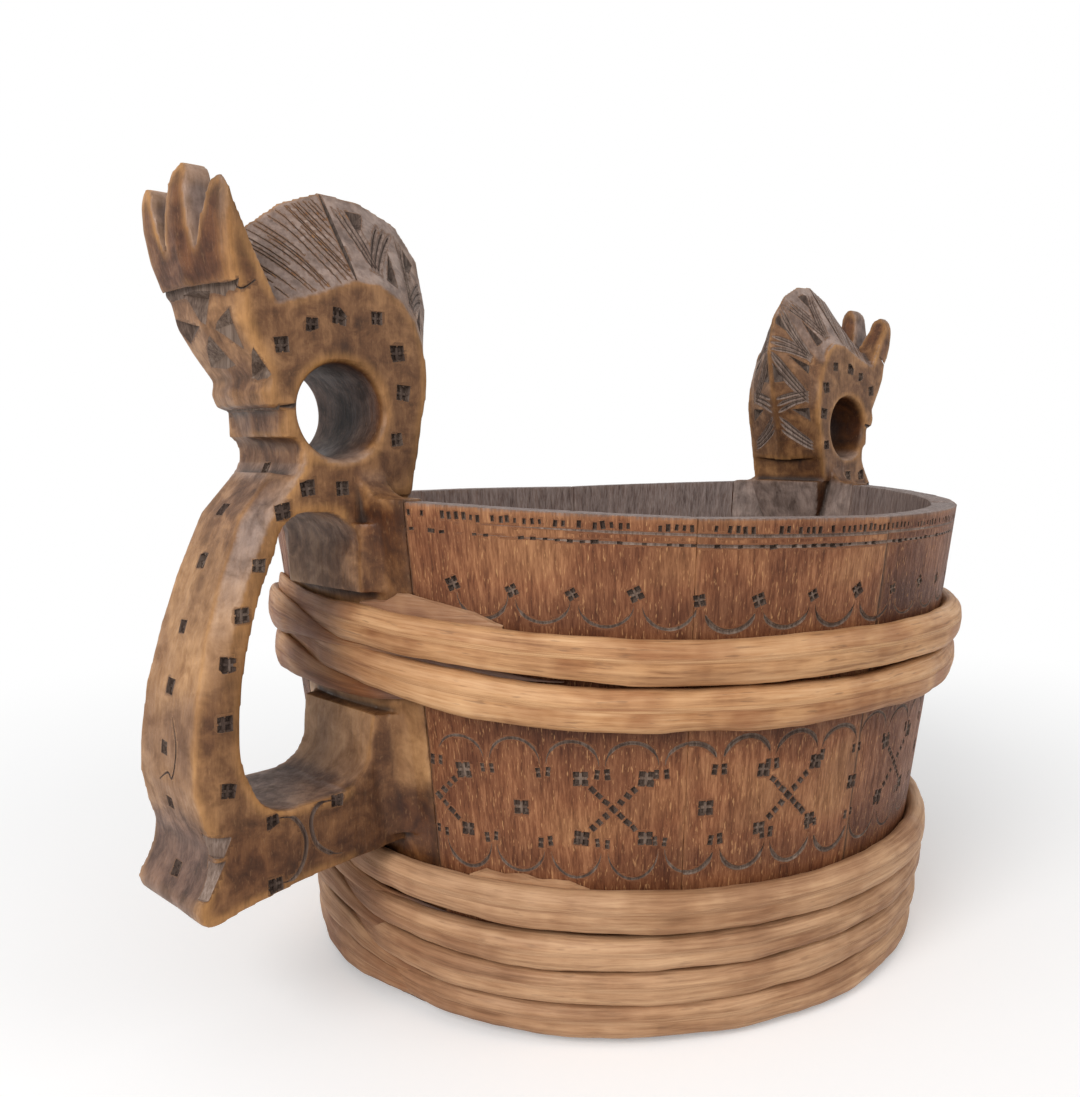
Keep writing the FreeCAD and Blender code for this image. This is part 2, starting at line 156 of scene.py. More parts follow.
def makeWood(name, look):
    material = bpy.data.materials.new(name)
    material.use_nodes = True
    tree = material.node_tree
    shader = tree.nodes["Principled BSDF"]
    plain = woodCoords(tree, look)
    flat = stretched(tree, plain, look, look["stretch"])
    fine = grainNoise(tree, flat, look["fineScale"], 5.0, 0.65, 0.15)
    broad = grainNoise(tree, flat, look["broadScale"], 3.0, 0.55, look["bend"])
    blotch = grainNoise(tree, plain, look["blotchScale"], 3.0, 0.6)
    mottle = grainNoise(tree, plain, look["mottleScale"], 6.0, 0.62, 0.4)
    short = stretched(tree, plain, look, look["speckStretch"])
    speck = grainNoise(tree, short, look["speckScale"], 2.0, 0.5)
    grain = plus(tree, times(tree, fine, 0.55), times(tree, broad, 0.45))
    patina = look["mottleAmount"]
    grain = plus(tree, times(tree, grain, 1.0 - patina), times(tree, mottle, patina))
    dark, middle, light = grainSteps
    color = rampColors(tree, grain, ((dark, look["dark"]), (middle, look["middle"]), (light, look["light"])))
    tone = readAttribute(tree, "tone")
    gold = rampColors(tree, grain, ((dark, look["goldDark"]), (light - 0.02, look["goldLight"])))
    greyWood = rampColors(tree, grain, ((dark + 0.02, look["greyDark"]), (light - 0.02, look["greyLight"])))
    worn = times(tree, readAttribute(tree, "wear"), ease(tree, blotch, 0.3, 0.6, 1.0, 0.45),
                 ease(tree, fine, 0.3, 0.6, 0.6, 1.0), look["wornAmount"])
    cut = times(tree, readAttribute(tree, "grey"), ease(tree, fine, 0.3, 0.62, 0.75, 1.0))
    # the tone's golden and dark ends carry painted light on the handles' outward faces and painted shade
    # beside the hoops and in the handles' opening and neck hole, besides each part's own tint
    layers = [("MIX", maths(tree, "MAXIMUM", tone, 0.0), gold),
              ("MULTIPLY", maths(tree, "MAXIMUM", times(tree, tone, -1.0), 0.0), look["dusk"]),
              ("MULTIPLY", ease(tree, blotch, 0.42, 0.68, 0.0, look["blotchAmount"]), look["blotch"]),
              ("MIX", ease(tree, speck, 0.6, 0.72, 0.0, look["speckAmount"]), look["speck"]),
              ("MIX", worn, look["worn"]),
              # grey on cut faces, on the handles partly a painted sky reflection
              ("MIX", cut, greyWood),
              # darker in the hollows: painted shade with some grime (on the staves, the dark joints)
              ("MIX", times(tree, readAttribute(tree, "hollow"), look["grimeAndShadeAmount"]), look["grimeAndShade"])]
    for mode, amount, layer in layers:
        color = blendColors(tree, mode, amount, color, layer)
    tree.links.new(color, shader.inputs["Base Color"])
    rough = ease(tree, grain, 0.35, 0.65, look["roughHigh"], look["roughLow"])
    tree.links.new(rough, shader.inputs["Roughness"])
    height = plus(tree, times(tree, fine, 0.7), times(tree, broad, 0.5))
    inputs = {"Strength": look["bump"], "Distance": bumpDistance, "Height": height}
    tree.links.new(made(tree, "ShaderNodeBump", inputs), shader.inputs["Normal"])
    shader.inputs["Specular IOR Level"].default_value = look["shine"]
    return material


grainSteps = (0.34, 0.48, 0.64)  # where the grain is dark, middling and light
bumpDistance = 0.0006

shared = {  # grey cut faces (on the handles partly a painted sky reflection), painted shade and some grime in the hollows, and the dark and golden ends of the tone, which hold painted shade and painted light besides the wood's own tint
    "greyDark": (0.085, 0.062, 0.055), "greyLight": (0.25, 0.195, 0.175), "grimeAndShade": (0.022, 0.012, 0.008),
    "grimeAndShadeAmount": 0.85, "dusk": (0.42, 0.36, 0.34), "goldDark": (0.25, 0.115, 0.042),
    "goldLight": (0.52, 0.285, 0.125), "mottleScale": 90.0, "mottleAmount": 0.0, "bend": 0.6,
    "speckStretch": 0.12}

staveLook = {
    **shared, "grain": "z", "stretch": 0.02, "fineScale": 1900.0, "broadScale": 520.0, "blotchScale": 34.0,
    "speckScale": 2300.0, "dark": (0.085, 0.026, 0.01), "middle": (0.195, 0.068, 0.027),
    "light": (0.35, 0.15, 0.066), "blotch": (0.5, 0.42, 0.42), "blotchAmount": 0.7,
    "speck": (0.52, 0.27, 0.115), "speckAmount": 0.6, "worn": (0.42, 0.2, 0.09), "wornAmount": 0.5,
    "roughLow": 0.45, "roughHigh": 0.65, "bump": 0.5, "shine": 0.25}

handleLook = {
    **shared, "grain": "z", "stretch": 0.16, "fineScale": 900.0, "broadScale": 190.0, "blotchScale": 26.0,
    "speckScale": 1500.0, "dark": (0.055, 0.023, 0.01), "middle": (0.155, 0.068, 0.027),
    "light": (0.33, 0.165, 0.068), "blotch": (0.4, 0.32, 0.29), "blotchAmount": 0.75,
    "speck": (0.4, 0.22, 0.1), "speckAmount": 0.16, "worn": (0.56, 0.28, 0.095), "wornAmount": 0.72,
    "greyDark": (0.12, 0.083, 0.069), "greyLight": (0.35, 0.26, 0.22), "speckStretch": 0.35,
    "roughLow": 0.4, "roughHigh": 0.58, "bump": 0.35, "shine": 0.3, "mottleAmount": 0.72,
    "mottleScale": 170.0,
    "dusk": (0.44, 0.3, 0.2)}

upperHoopLook = {
    **shared, "grain": "rod", "stretch": 0.05, "fineScale": 1300.0, "broadScale": 330.0, "blotchScale": 45.0,
    "speckScale": 1400.0, "dark": (0.22, 0.086, 0.027), "middle": (0.51, 0.258, 0.107),
    "light": (0.71, 0.43, 0.225), "blotch": (0.45, 0.27, 0.165), "blotchAmount": 0.8,
    "dusk": (0.5, 0.36, 0.27),
    "speck": (0.13, 0.055, 0.022), "speckAmount": 0.6, "worn": (0.72, 0.45, 0.25), "wornAmount": 0.35,
    "roughLow": 0.45, "roughHigh": 0.6, "bump": 0.5, "shine": 0.25, "mottleAmount": 0.15}

lowerHoopLook = {
    **upperHoopLook, "blotchScale": 38.0, "dark": (0.19, 0.086, 0.036), "middle": (0.4, 0.212, 0.105),
    "light": (0.61, 0.365, 0.197), "blotch": (0.5, 0.35, 0.26), "blotchAmount": 0.7,
    "speck": (0.17, 0.08, 0.038), "speckAmount": 0.45, "worn": (0.7, 0.45, 0.27),
    "roughLow": 0.5, "roughHigh": 0.65}

boardLook = {**staveLook, "grain": "y", "dark": (0.07, 0.035, 0.02), "middle": (0.12, 0.068, 0.042),
             "light": (0.19, 0.115, 0.075), "speckAmount": 0.2, "broadScale": 260.0}

pitLook = {**staveLook, "dark": (0.035, 0.021, 0.015), "middle": (0.078, 0.05, 0.037),
           "light": (0.17, 0.122, 0.094), "speck": (0.25, 0.18, 0.14), "speckAmount": 0.25,
           "goldDark": (0.08, 0.05, 0.036), "goldLight": (0.2, 0.14, 0.1), "worn": (0.2, 0.14, 0.1),
           "greyDark": (0.03, 0.019, 0.014), "greyLight": (0.1, 0.07, 0.055),
           "roughLow": 0.6, "roughHigh": 0.75}

chipLook = {**pitLook, "dark": (0.055, 0.034, 0.025), "middle": (0.12, 0.078, 0.056),
            "light": (0.23, 0.165, 0.125), "goldDark": (0.1, 0.06, 0.042), "goldLight": (0.26, 0.17, 0.12),
            "greyDark": (0.055, 0.034, 0.025), "greyLight": (0.2, 0.145, 0.115)}

rimLook = {**pitLook, "dark": (0.09, 0.058, 0.043), "middle": (0.185, 0.125, 0.095),
           "light": (0.31, 0.23, 0.185), "goldDark": (0.17, 0.11, 0.08), "goldLight": (0.36, 0.26, 0.2),
           "greyDark": (0.09, 0.058, 0.045), "greyLight": (0.3, 0.22, 0.18)}

staveWood, handleWood, upperHoopWithy, lowerHoopWithy, boardWood, pitWood, chipWood, rimWood = [
    makeWood(name, look) for name, look in (
        ("staveWood", staveLook), ("handleWood", handleLook), ("upperHoopWithy", upperHoopLook),
        ("lowerHoopWithy", lowerHoopLook), ("boardWood", boardLook), ("pitWood", pitLook),
        ("chipWood", chipLook), ("rimWood", rimLook))]
print("woods made")


# geometry node trees

def newTree(name, sockets):
    tree = bpy.data.node_groups.new(name, "GeometryNodeTree")
    for way in ("INPUT", "OUTPUT"):
        tree.interface.new_socket("Geometry", in_out=way, socket_type="NodeSocketGeometry")
    for label, kind in sockets.items():
        tree.interface.new_socket(label, in_out="INPUT", socket_type="NodeSocket" + kind)
    return tree, tree.nodes.new("NodeGroupInput").outputs


def closeTree(tree, geometry, material):
    real = made(tree, "GeometryNodeRealizeInstances", {0: geometry})
    dressed = made(tree, "GeometryNodeSetMaterial", {"Geometry": real, "Material": material})
    addNode(tree, "NodeGroupOutput", {0: dressed})


def grow(tree, mesh, values):  # runs a tree on a mesh and gives the plain mesh that comes out
    holder = show(mesh, "holder")
    modifier = holder.modifiers.new("grow", "NODES")
    modifier.node_group = tree
    for item in tree.interface.items_tree:
        if item.in_out == "INPUT" and item.name in values:
            modifier[item.identifier] = values[item.name]
    grown = evaluated(holder)
    holder.modifiers.remove(modifier)
    discard(holder)
    return grown


def namedValue(tree, name, kind="FLOAT"):
    return made(tree, "GeometryNodeInputNamedAttribute", {"Name": name}, data_type=kind)


def makeStampTree():  # one stamp on each point, turned to the surface
    tree, given = newTree("stamps", {"Stamp": "Object", "Wobble": "Float", "Seed": "Int",
                                     "Material": "Material"})
    stamp = addNode(tree, "GeometryNodeObjectInfo", {"Object": given["Stamp"]}).outputs["Geometry"]
    turned = None
    for name, axis, pivot in (("facing", "Z", "AUTO"), ("heading", "X", "Z")):
        inputs = {"Vector": namedValue(tree, name, "FLOAT_VECTOR")}
        if turned:
            inputs["Rotation"] = turned
        turned = made(tree, "FunctionNodeAlignRotationToVector", inputs, axis=axis, pivot_axis=pivot)
    chance = addNode(tree, "FunctionNodeRandomValue", data_type="FLOAT")
    low = maths(tree, "SUBTRACT", 1.0, given["Wobble"])
    for place, value in ((2, low), (3, plus(tree, 1.0, given["Wobble"])), (8, given["Seed"])):
        tree.links.new(value, chance.inputs[place])
    size = times(tree, namedValue(tree, "size"), chance.outputs[1])
    spots = made(tree, "GeometryNodeMeshToPoints", {"Mesh": given["Geometry"]})
    placed = made(tree, "GeometryNodeInstanceOnPoints",
                  {"Points": spots, "Instance": stamp, "Rotation": turned, "Scale": size})
    closeTree(tree, placed, given["Material"])
    return tree


def makeGrooveTree():  # a round cutter along each line, thin at its ends
    tree, given = newTree("grooves", {"Width": "Float", "Sides": "Int", "Material": "Material"})
    lines = made(tree, "GeometryNodeMeshToCurve", {0: given["Geometry"]})
    lines = made(tree, "GeometryNodeSetCurveRadius", {"Curve": lines, "Radius": namedValue(tree, "width")})
    section = made(tree, "GeometryNodeCurvePrimitiveCircle",
                   {"Resolution": given["Sides"], "Radius": given["Width"]}, mode="RADIUS")
    inputs = {"Curve": lines, "Profile Curve": section, "Fill Caps": True,
              "Scale": namedValue(tree, "width")}
    closeTree(tree, made(tree, "GeometryNodeCurveToMesh", inputs), given["Material"])
    return tree


stampTree = makeStampTree()
grooveTree = makeGrooveTree()
print("node trees made")


# turning CAD pieces into carved wood

def welded(mesh, reach=2e-6):
    shape = bmesh.new()
    shape.from_mesh(mesh)
    bmesh.ops.remove_doubles(shape, verts=shape.verts, dist=reach)
    return meshOf(shape, "joined")


def applied(mesh, kind, settings):  # the mesh that a modifier makes of this one
    holder = show(mesh, "holder")
    modifier = holder.modifiers.new("work", kind)
    for name, value in settings.items():
        setattr(modifier, name, value)
    result = evaluated(holder)
    holder.modifiers.remove(modifier)
    discard(holder)
    return result


def isClosed(mesh):  # every edge joins exactly two faces
    used = np.empty(len(mesh.loops), "i")
    mesh.loops.foreach_get("edge_index", used)
    return bool((np.bincount(used, minlength=len(mesh.edges)) == 2).all())


# settings of the modifiers that the pieces go through
crispRemesh = {"mode": "SHARP", "octree_depth": 8, "sharpness": 1.0, "use_remove_disconnected": False}
cutSettings = {"operation": "DIFFERENCE", "solver": "MANIFOLD", "material_mode": "TRANSFER"}


def evened(mesh, scales, grain):  # small even faces that keep the crisp edges
    for scale in scales:
        result = applied(mesh, "REMESH", {**crispRemesh, "scale": scale})
        if isClosed(result):
            return result
    return applied(mesh, "REMESH", {"mode": "VOXEL", "voxel_size": grain})


def readVectors(points, name):
    values = np.empty(len(points) * 3, "f")
    points.foreach_get(name, values)
    return values.reshape(-1, 3).astype("d")


def getPlaces(mesh):
    return readVectors(mesh.vertices, "co")


def setPlaces(mesh, places):
    mesh.vertices.foreach_set("co", places.astype("f").ravel())
    mesh.update()


def getNormals(mesh):
    return readVectors(mesh.vertices, "normal")


def getEdges(mesh):
    edges = np.empty(len(mesh.edges) * 2, "i")
    mesh.edges.foreach_get("vertices", edges)
    return edges.reshape(-1, 2)


def relaxed(values, edges, steps, amount=0.5):  # each point moves towards its neighbours
    count = np.bincount(edges.ravel(), minlength=len(values)).astype("d")[:, None]
    count[count == 0] = 1
    for step in range(steps):
        total = np.zeros_like(values)
        for axis in range(values.shape[1]):
            total[:, axis] += np.bincount(edges[:, 0], values[edges[:, 1], axis], len(values))
            total[:, axis] += np.bincount(edges[:, 1], values[edges[:, 0], axis], len(values))
        values = values + (total / count - values) * amount
    return values


def waveField(places, size, seed):  # smooth noise, one number for each point
    shift = Vector((seed * 3.1, seed * 1.7, seed * 2.3))
    return np.array([noise.noise(Vector(place) / size + shift) for place in places])


def setAttribute(mesh, name, values):
    layer = mesh.attributes.get(name) or mesh.attributes.new(name, "FLOAT", "POINT")
    layer.data.foreach_set("value", np.asarray(values, "f"))


def readValues(mesh, name):
    values = np.empty(len(mesh.vertices), "f")
    mesh.attributes[name].data.foreach_get("value", values)
    return values


def softStep(values, low, high):
    part = np.clip((values - low) / (high - low), 0, 1)
    return part * part * (3 - 2 * part)


def band(values, low, lowEnd, high, highEnd):  # 1 between the two slopes, 0 outside them
    return softStep(values, low, lowEnd) * (1 - softStep(values, high, highEnd))


def markWearAndHollowShade(mesh, steps, full):  # worn where it stands out, darker where it is hollow: painted shade with some grime
    places = getPlaces(mesh)
    smooth = relaxed(places, getEdges(mesh), steps)
    lift = ((places - smooth) * getNormals(mesh)).sum(1)
    lift = relaxed(lift[:, None], getEdges(mesh), 3)[:, 0]
    setAttribute(mesh, "wear", softStep(lift, full * 0.12, full))
    # the hollow mask darkens recesses: painted shade with some grime
    setAttribute(mesh, "hollow", softStep(-lift, full * 0.15, full))


def carvableCopy(node, form):
    mesh = evened(welded(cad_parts[node].data), form["scales"], form["voxel"] * mm)
    mesh.materials.clear()
    places = relaxed(getPlaces(mesh), getEdges(mesh), form["smoothing"])
    setPlaces(mesh, places)
    push = np.zeros(len(places))
    for size, height, seed in form["waves"]:
        push += waveField(places, size, seed) * height
    setPlaces(mesh, places + getNormals(mesh) * push[:, None])
    return mesh


# cutters

def bridge(shape, rings):  # a closed skin over rings of corners
    for a, b in zip(rings, rings[1:]):
        for i in range(len(a)):
            j = (i + 1) % len(a)
            shape.faces.new((a[i], a[j], b[j], b[i]))
    shape.faces.new(rings[0][::-1])
    shape.faces.new(rings[-1])


def frustum(shape, x, y, wide, tall, depth, lift, tip):  # one small pit, pointed into the wood
    corners = ((-1, -1), (1, -1), (1, 1), (-1, 1))
    spread = 1 + (1 - tip) * lift / depth
    rings = [[shape.verts.new(((x + a * wide * part) * mm, (y + b * tall * part) * mm, height * mm))
              for a, b in corners] for part, height in ((tip, -depth), (spread, lift))]
    bridge(shape, rings)


stamps = []


def makeStamp(name, columns, rows, pitch, wide, tall, depth, tip=0.55, lift=0.3):
    shape = bmesh.new()
    for i in range(columns):
        for j in range(rows):
            x, y = (i - (columns - 1) / 2) * pitch, (j - (rows - 1) / 2) * pitch
            frustum(shape, x, y, wide, tall, depth, lift, tip)
    stamp = show(meshOf(shape, name), name)
    stamp.hide_render = True
    stamps.append(stamp)
    return stamp


def meshOf(shape, name, wood=None):
    mesh = bpy.data.meshes.new(name)
    shape.to_mesh(mesh)
    shape.free()
    if wood:
        mesh.materials.append(wood)
    return mesh


def notch(shape, spots, above, below, depth, under=0.0, lift=1.0):
    # a V-shaped cut along spots (place, facing), with its own upper and lower reach
    rings = []
    for place, facing in spots:
        up = (Vector((0, 0, 1)) - facing * facing.z).normalized()
        tip = place - facing * depth * mm + up * under * mm
        high = place + up * above * mm + facing * lift * mm
        low = place - up * (below * (1 + lift / depth)) * mm + facing * lift * mm
        rings.append([shape.verts.new(corner) for corner in (tip, high, low)])
    bridge(shape, rings)
    bmesh.ops.recalc_face_normals(shape, faces=shape.faces)


def facet(shape, corners, outward, deep=0.15, height=9.0):  # slices the wood off level with the corners
    bridge(shape, [[shape.verts.new(corner + outward * part * mm) for corner in corners]
                   for part in (-deep, height)])
    bmesh.ops.recalc_face_normals(shape, faces=shape.faces)


def pointsMesh(spots):  # spots: place, facing, heading, size
    mesh = bpy.data.meshes.new("spots")
    mesh.from_pydata([spot[0] for spot in spots], [], [])
    for index, name in ((1, "facing"), (2, "heading")):
        layer = mesh.attributes.new(name, "FLOAT_VECTOR", "POINT")
        layer.data.foreach_set("vector", [part for spot in spots for part in spot[index]])
    setAttribute(mesh, "size", [spot[3] for spot in spots])
    return mesh


def stamped(spots, stamp, wood, seed, wobble=0.12):
    values = {"Stamp": stamp, "Wobble": wobble, "Seed": seed, "Material": wood}
    return grow(stampTree, pointsMesh(spots), values)


def linesMesh(lines, fade=0.25):  # lines of points, thinner at both ends
    mesh = bpy.data.meshes.new("lines")
    places, edges, widths = [], [], []
    for line in lines:
        first = len(places)
        last = len(line) - 1
        places += line
        edges += [(first + i, first + i + 1) for i in range(last)]
        widths += [fade + (1 - fade) * min(1.0, 5 * min(i, last - i) / last) for i in range(last + 1)]
    mesh.from_pydata(places, edges, [])
    setAttribute(mesh, "width", widths)
    return mesh


def grooved(lines, width, wood, sides=6):
    values = {"Width": width * mm, "Sides": sides, "Material": wood}
    return grow(grooveTree, linesMesh(lines), values)


def carve(mesh, cutters, wood):  # takes each cutter out of the mesh; its cut faces keep the cutter's wood
    mesh.materials.append(wood)
    for cutter in cutters:
        knife = show(cutter, "knife")
        mesh = applied(mesh, "BOOLEAN", {**cutSettings, "object": knife})
        discard(knife)
    return mesh


def finishPiece(mesh, name, slot, node, crease):
    for face in mesh.polygons:
        face.use_smooth = True
    mesh.set_sharp_from_angle(angle=crease)
    piece = show(mesh, name)
    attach(piece, "root")
    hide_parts(node)
    return piece


# the bowl's outside, a cone that widens upwards

bowl = {"footRadius": 92.5, "rimRadius": 111.0, "height": 138.0, "rimRise": 4.5}
bowlSlope = (bowl["rimRadius"] - bowl["footRadius"]) / bowl["height"]


def rimHeight(angle):  # the rim rises towards the two handles
    return bowl["height"] + bowl["rimRise"] * abs(math.cos(math.radians(angle))) ** 3


def onBowl(angle, height, out=0.0):  # a place on the outside, or out mm beyond it
    turn = math.radians(angle)
    radius = bowl["footRadius"] + bowlSlope * height + out
    return toPoint(radius * math.cos(turn), radius * math.sin(turn), height)


def bowlSpot(angle, height, size=1.0, twist=0.0):  # a stamp's place, facing, heading and size
    turn = math.radians(angle)
    facing = Vector((math.cos(turn), math.sin(turn), -bowlSlope)).normalized()
    sideways = Vector((-math.sin(turn), math.cos(turn), 0))
    heading = (Matrix.Rotation(math.radians(twist), 3, facing) @ sideways).normalized()
    return onBowl(angle, height), facing, heading, size


# the staves: punched flowers, scallops and crossed figures between the hoops

staveForm = {
    "scales": (0.7, 0.72, 0.68, 0.74, 0.66, 0.76, 0.64, 0.78), "voxel": 0.85, "smoothing": 1,
    "waves": ((0.03, 0.00018, 3), (0.006, 0.00005, 5)),
    "wearSteps": 14, "wearFull": 0.00035, "crease": 0.5,
    "steps": (0.12, -0.1, 0.14, -0.06), "tints": (-0.22, 0.0, 0.1, -0.3),  # how far each stands proud, mm
    "hoopShadowAndDirtBands": ((84, 6), (114, 7), (49, 6), (20, 22)),  # heights where it is darker, painted shadow with some dirt beside the hoops, and their reach, mm
}
ornament = {
    "from": -163.5, "to": -18.5, "pitch": 8.2, "firstFlower": -156.9, "flowerDrop": 19.6,
    "scallopDrop": 27.8, "rowDrop": 2.6, "rowLineDrop": 4.1, "dashDrop": 6.7, "dashPitch": 1.0,
    "archPitch": 8.4, "firstArch": -166.4, "archTop": 82.4, "archJoin": 74.2, "bowlBottom": 45.8,
    "bowlJoin": 55.2, "firstFigure": -162.3, "figurePitch": 26.9, "figureHeight": 64.5,
    "figureArm": (4.1, 7.2), "lineWide": 0.85, "lineLift": 0.62, "lineThin": 0.3, "seed": 11,
}


def halfRing(middle, reach, start, drop, points=15):  # a scallop: half a ring that hangs or stands
    line = []
    for i in range(points):
        turn = math.pi * i / (points - 1)
        line.append((middle - reach * math.cos(turn), start + drop * math.sin(turn)))
    return line


def rimLine(drop, start, end, points=240):
    angles = [start + (end - start) * i / (points - 1) for i in range(points)]
    return [(angle, rimHeight(angle) - drop) for angle in angles]


def laid(lines, out, mirror):  # lines of angle and height, laid on the bowl
    side = Vector((1, -1, 1)) if mirror else Vector((1, 1, 1))
    return [[onBowl(angle, height, out) * side for angle, height in line] for line in lines]


def along(start, pitch):  # angles up to the ornament's end
    while start < ornament["to"]:
        yield start
        start += pitch


def layOrnament(mirror):  # the marks of one half of the bowl; the back half is mirrored
    o = ornament
    start, end = o["from"], o["to"]
    chance = random.Random(o["seed"] + mirror)
    flowers, pairs, squares, beads, wedges, dashes, lines = [], [], [], [], [], [], []

    def jitter(amount):
        return chance.uniform(-amount, amount)

    half = o["pitch"] / 2
    for angle in along(o["firstFlower"], o["pitch"]):
        place = angle + jitter(0.35)
        height = rimHeight(angle) - o["flowerDrop"] + jitter(0.6)
        flowers.append(bowlSpot(place, height, 1 + jitter(0.1), 22 + jitter(14)))
        if angle + o["pitch"] < end:
            bottom = rimHeight(angle + half) - o["scallopDrop"] + jitter(0.5)
            top = height - 2.2
            lines.append(halfRing(angle + half, half - 0.5, top, bottom - top))
    half = o["archPitch"] / 2
    for angle in along(o["firstArch"], o["archPitch"]):
        rise, fall = jitter(0.7), jitter(0.7)
        if start < angle - half and angle + half < end:
            foot, hang = o["archJoin"] + 2.0, o["bowlJoin"] - 1.8
            lines.append(halfRing(angle, half - 0.45, foot, o["archTop"] + rise - foot))
            lines.append(halfRing(angle + 0.3, half - 0.45, hang, o["bowlBottom"] + fall - hang))
        if start + 1 < angle + half < end:
            for height in (o["archJoin"], o["bowlJoin"]):
                for side in (-0.72, 0.72):
                    place = angle + half + side
                    pairs.append(bowlSpot(place, height + jitter(0.5), 1 + jitter(0.1), jitter(8)))
    wide, tall = o["figureArm"]
    for angle in along(o["firstFigure"], o["figurePitch"]):
        middle = o["figureHeight"] + jitter(0.6)
        for across in (-1, 1):
            for up in (-1, 1):
                for step in (0.26, 0.5, 0.72):
                    place = angle + across * wide * step
                    if place > start + 0.6:
                        beads.append(bowlSpot(place, middle + up * tall * step, 1, 45 + jitter(12)))
                place = angle + across * (wide + 0.55)
                if place > start + 1.4:
                    squares.append(bowlSpot(place, middle + up * (tall + 0.9), 1 + jitter(0.1), jitter(7)))
        beads.append(bowlSpot(angle, middle, 1.25, 45))
        between = angle + o["figurePitch"] / 2
        if between < end:
            squares.append(bowlSpot(between, middle - 0.5, 1.05, jitter(6)))
    for angle in along(start + 0.8, o["dashPitch"]):
        if chance.random() > 0.24 + 0.3 * math.sin(angle * 0.7):
            height = rimHeight(angle) - o["rowDrop"] + jitter(0.25)
            wedges.append(bowlSpot(angle + jitter(0.12), height, 1 + jitter(0.2), jitter(9)))
    for angle in along(start + 0.9, o["dashPitch"] * 1.55):
        if chance.random() > 0.25:
            height = rimHeight(angle) - o["dashDrop"] + jitter(0.1)
            dashes.append(bowlSpot(angle, height, 1 + jitter(0.25), jitter(6)))
    rows = [rimLine(o[drop], start + 0.4, end) for drop in ("rowLineDrop", "dashDrop")]
    groups = [flowers, pairs, squares, beads, wedges, dashes]
    if mirror:
        flip = Vector((1, -1, 1))
        groups = [[(a * flip, b * flip, c * flip, d) for a, b, c, d in group] for group in groups]
    return groups, lines, rows


flowerBed = makeStamp("flowerBed", 1, 1, 0, 1.1, 1.1, 0.32, 0.92)
smallFlower = makeStamp("smallFlower", 2, 2, 1.62, 0.68, 0.68, 0.95)
pairBed = makeStamp("pairBed", 1, 1, 0, 0.5, 1.15, 0.26, 0.92)
jointPair = makeStamp("jointPair", 1, 2, 1.5, 0.66, 0.6, 0.75)
squareBed = makeStamp("squareBed", 1, 1, 0, 1.6, 1.6, 0.34, 0.94)
bigSquare = makeStamp("bigSquare", 2, 2, 2.1, 0.84, 0.84, 1.0)
singleBead = makeStamp("singleBead", 1, 1, 0, 0.72, 0.95, 0.8)
rowWedge = makeStamp("rowWedge", 1, 1, 0, 0.46, 0.82, 0.75)
rowDash = makeStamp("rowDash", 1, 1, 0, 0.8, 0.42, 0.75)


def joined(meshes):  # one mesh from several that don't touch
    whole = meshes[0]
    shape = bmesh.new()
    for mesh in meshes:
        shape.from_mesh(mesh)
    shape.to_mesh(whole)
    shape.free()
    return whole


def ornamentCutters(mirror):
    groups, lines, rows = layOrnament(mirror)
    o = ornament
    flowers, pairs, squares, beads, wedges, dashes = groups
    beds = [stamped(flowers, flowerBed, chipWood, 20), stamped(pairs, pairBed, chipWood, 21)]
    pits = [stamped(spots, stamp, pitWood, seed) for spots, stamp, seed in (
        (flowers, smallFlower, 20), (pairs, jointPair, 21), (beads, singleBead, 23), (wedges, rowWedge, 24),
        (dashes, rowDash, 25))]
    return [grooved(laid(lines, o["lineLift"], mirror), o["lineWide"], chipWood, 10),
            grooved(laid(lines, 0.0, mirror), o["lineThin"], pitWood),
            grooved(laid(rows, 0.2, mirror), 0.5, rimWood), joined(beds), joined(pits),
            stamped(squares, squareBed, chipWood, 22), stamped(squares, bigSquare, pitWood, 22)]


def paintStave(mesh, number):  # grey on the rim and inside, dark along the joints, and darker beside the hoops with painted shadow and some dirt
    places, normals = getPlaces(mesh), getNormals(mesh)
    flat = places[:, :2]
    outward = (flat * normals[:, :2]).sum(1) / np.hypot(*flat.T)
    top = softStep(normals[:, 2], 0.45, 0.8) * (places[:, 2] > 0.1)
    foot = softStep(-normals[:, 2], 0.5, 0.9)
    grey = np.clip(top * 0.9 + softStep(-outward, 0.2, 0.6) * 0.92 + foot * 0.4, 0, 1)
    setAttribute(mesh, "grey", grey)
    setAttribute(mesh, "rod", np.full(len(places), number * 1.37))
    height = places[:, 2] / mm
    # painted shadow with some dirt, in bands beside the hoops
    near = [np.exp(-((height - middle) / reach) ** 2) for middle, reach in staveForm["hoopShadowAndDirtBands"]]
    tone = staveForm["tints"][number % 4] - 0.55 * np.max(near, axis=0)
    setAttribute(mesh, "tone", tone + 0.5 * waveField(places, 0.02, number + 30))
    middle = flat.mean(0)
    across = places[:, 0] * middle[1] - places[:, 1] * middle[0]
    turn = np.abs(np.arctan2(across, flat @ middle)) * bowl["rimRadius"]
    edge = softStep(turn, turn.max() - 0.9, turn.max() - 0.3)
    setAttribute(mesh, "hollow", edge * softStep(outward, 0.2, 0.6))


def makeStave(name, number, cutters):
    mesh = carvableCopy(name, staveForm)
    markWearAndHollowShade(mesh, staveForm["wearSteps"], staveForm["wearFull"])
    paintStave(mesh, number)
    places = getPlaces(mesh)
    middle = places[:, :2].mean(0)
    places[:, :2] += middle / np.hypot(*middle) * staveForm["steps"][number % 4] * mm
    setPlaces(mesh, places)
    mesh = carve(mesh, cutters, staveWood)
    return finishPiece(mesh, "carved_" + name, "stave_wood", name, staveForm["crease"])


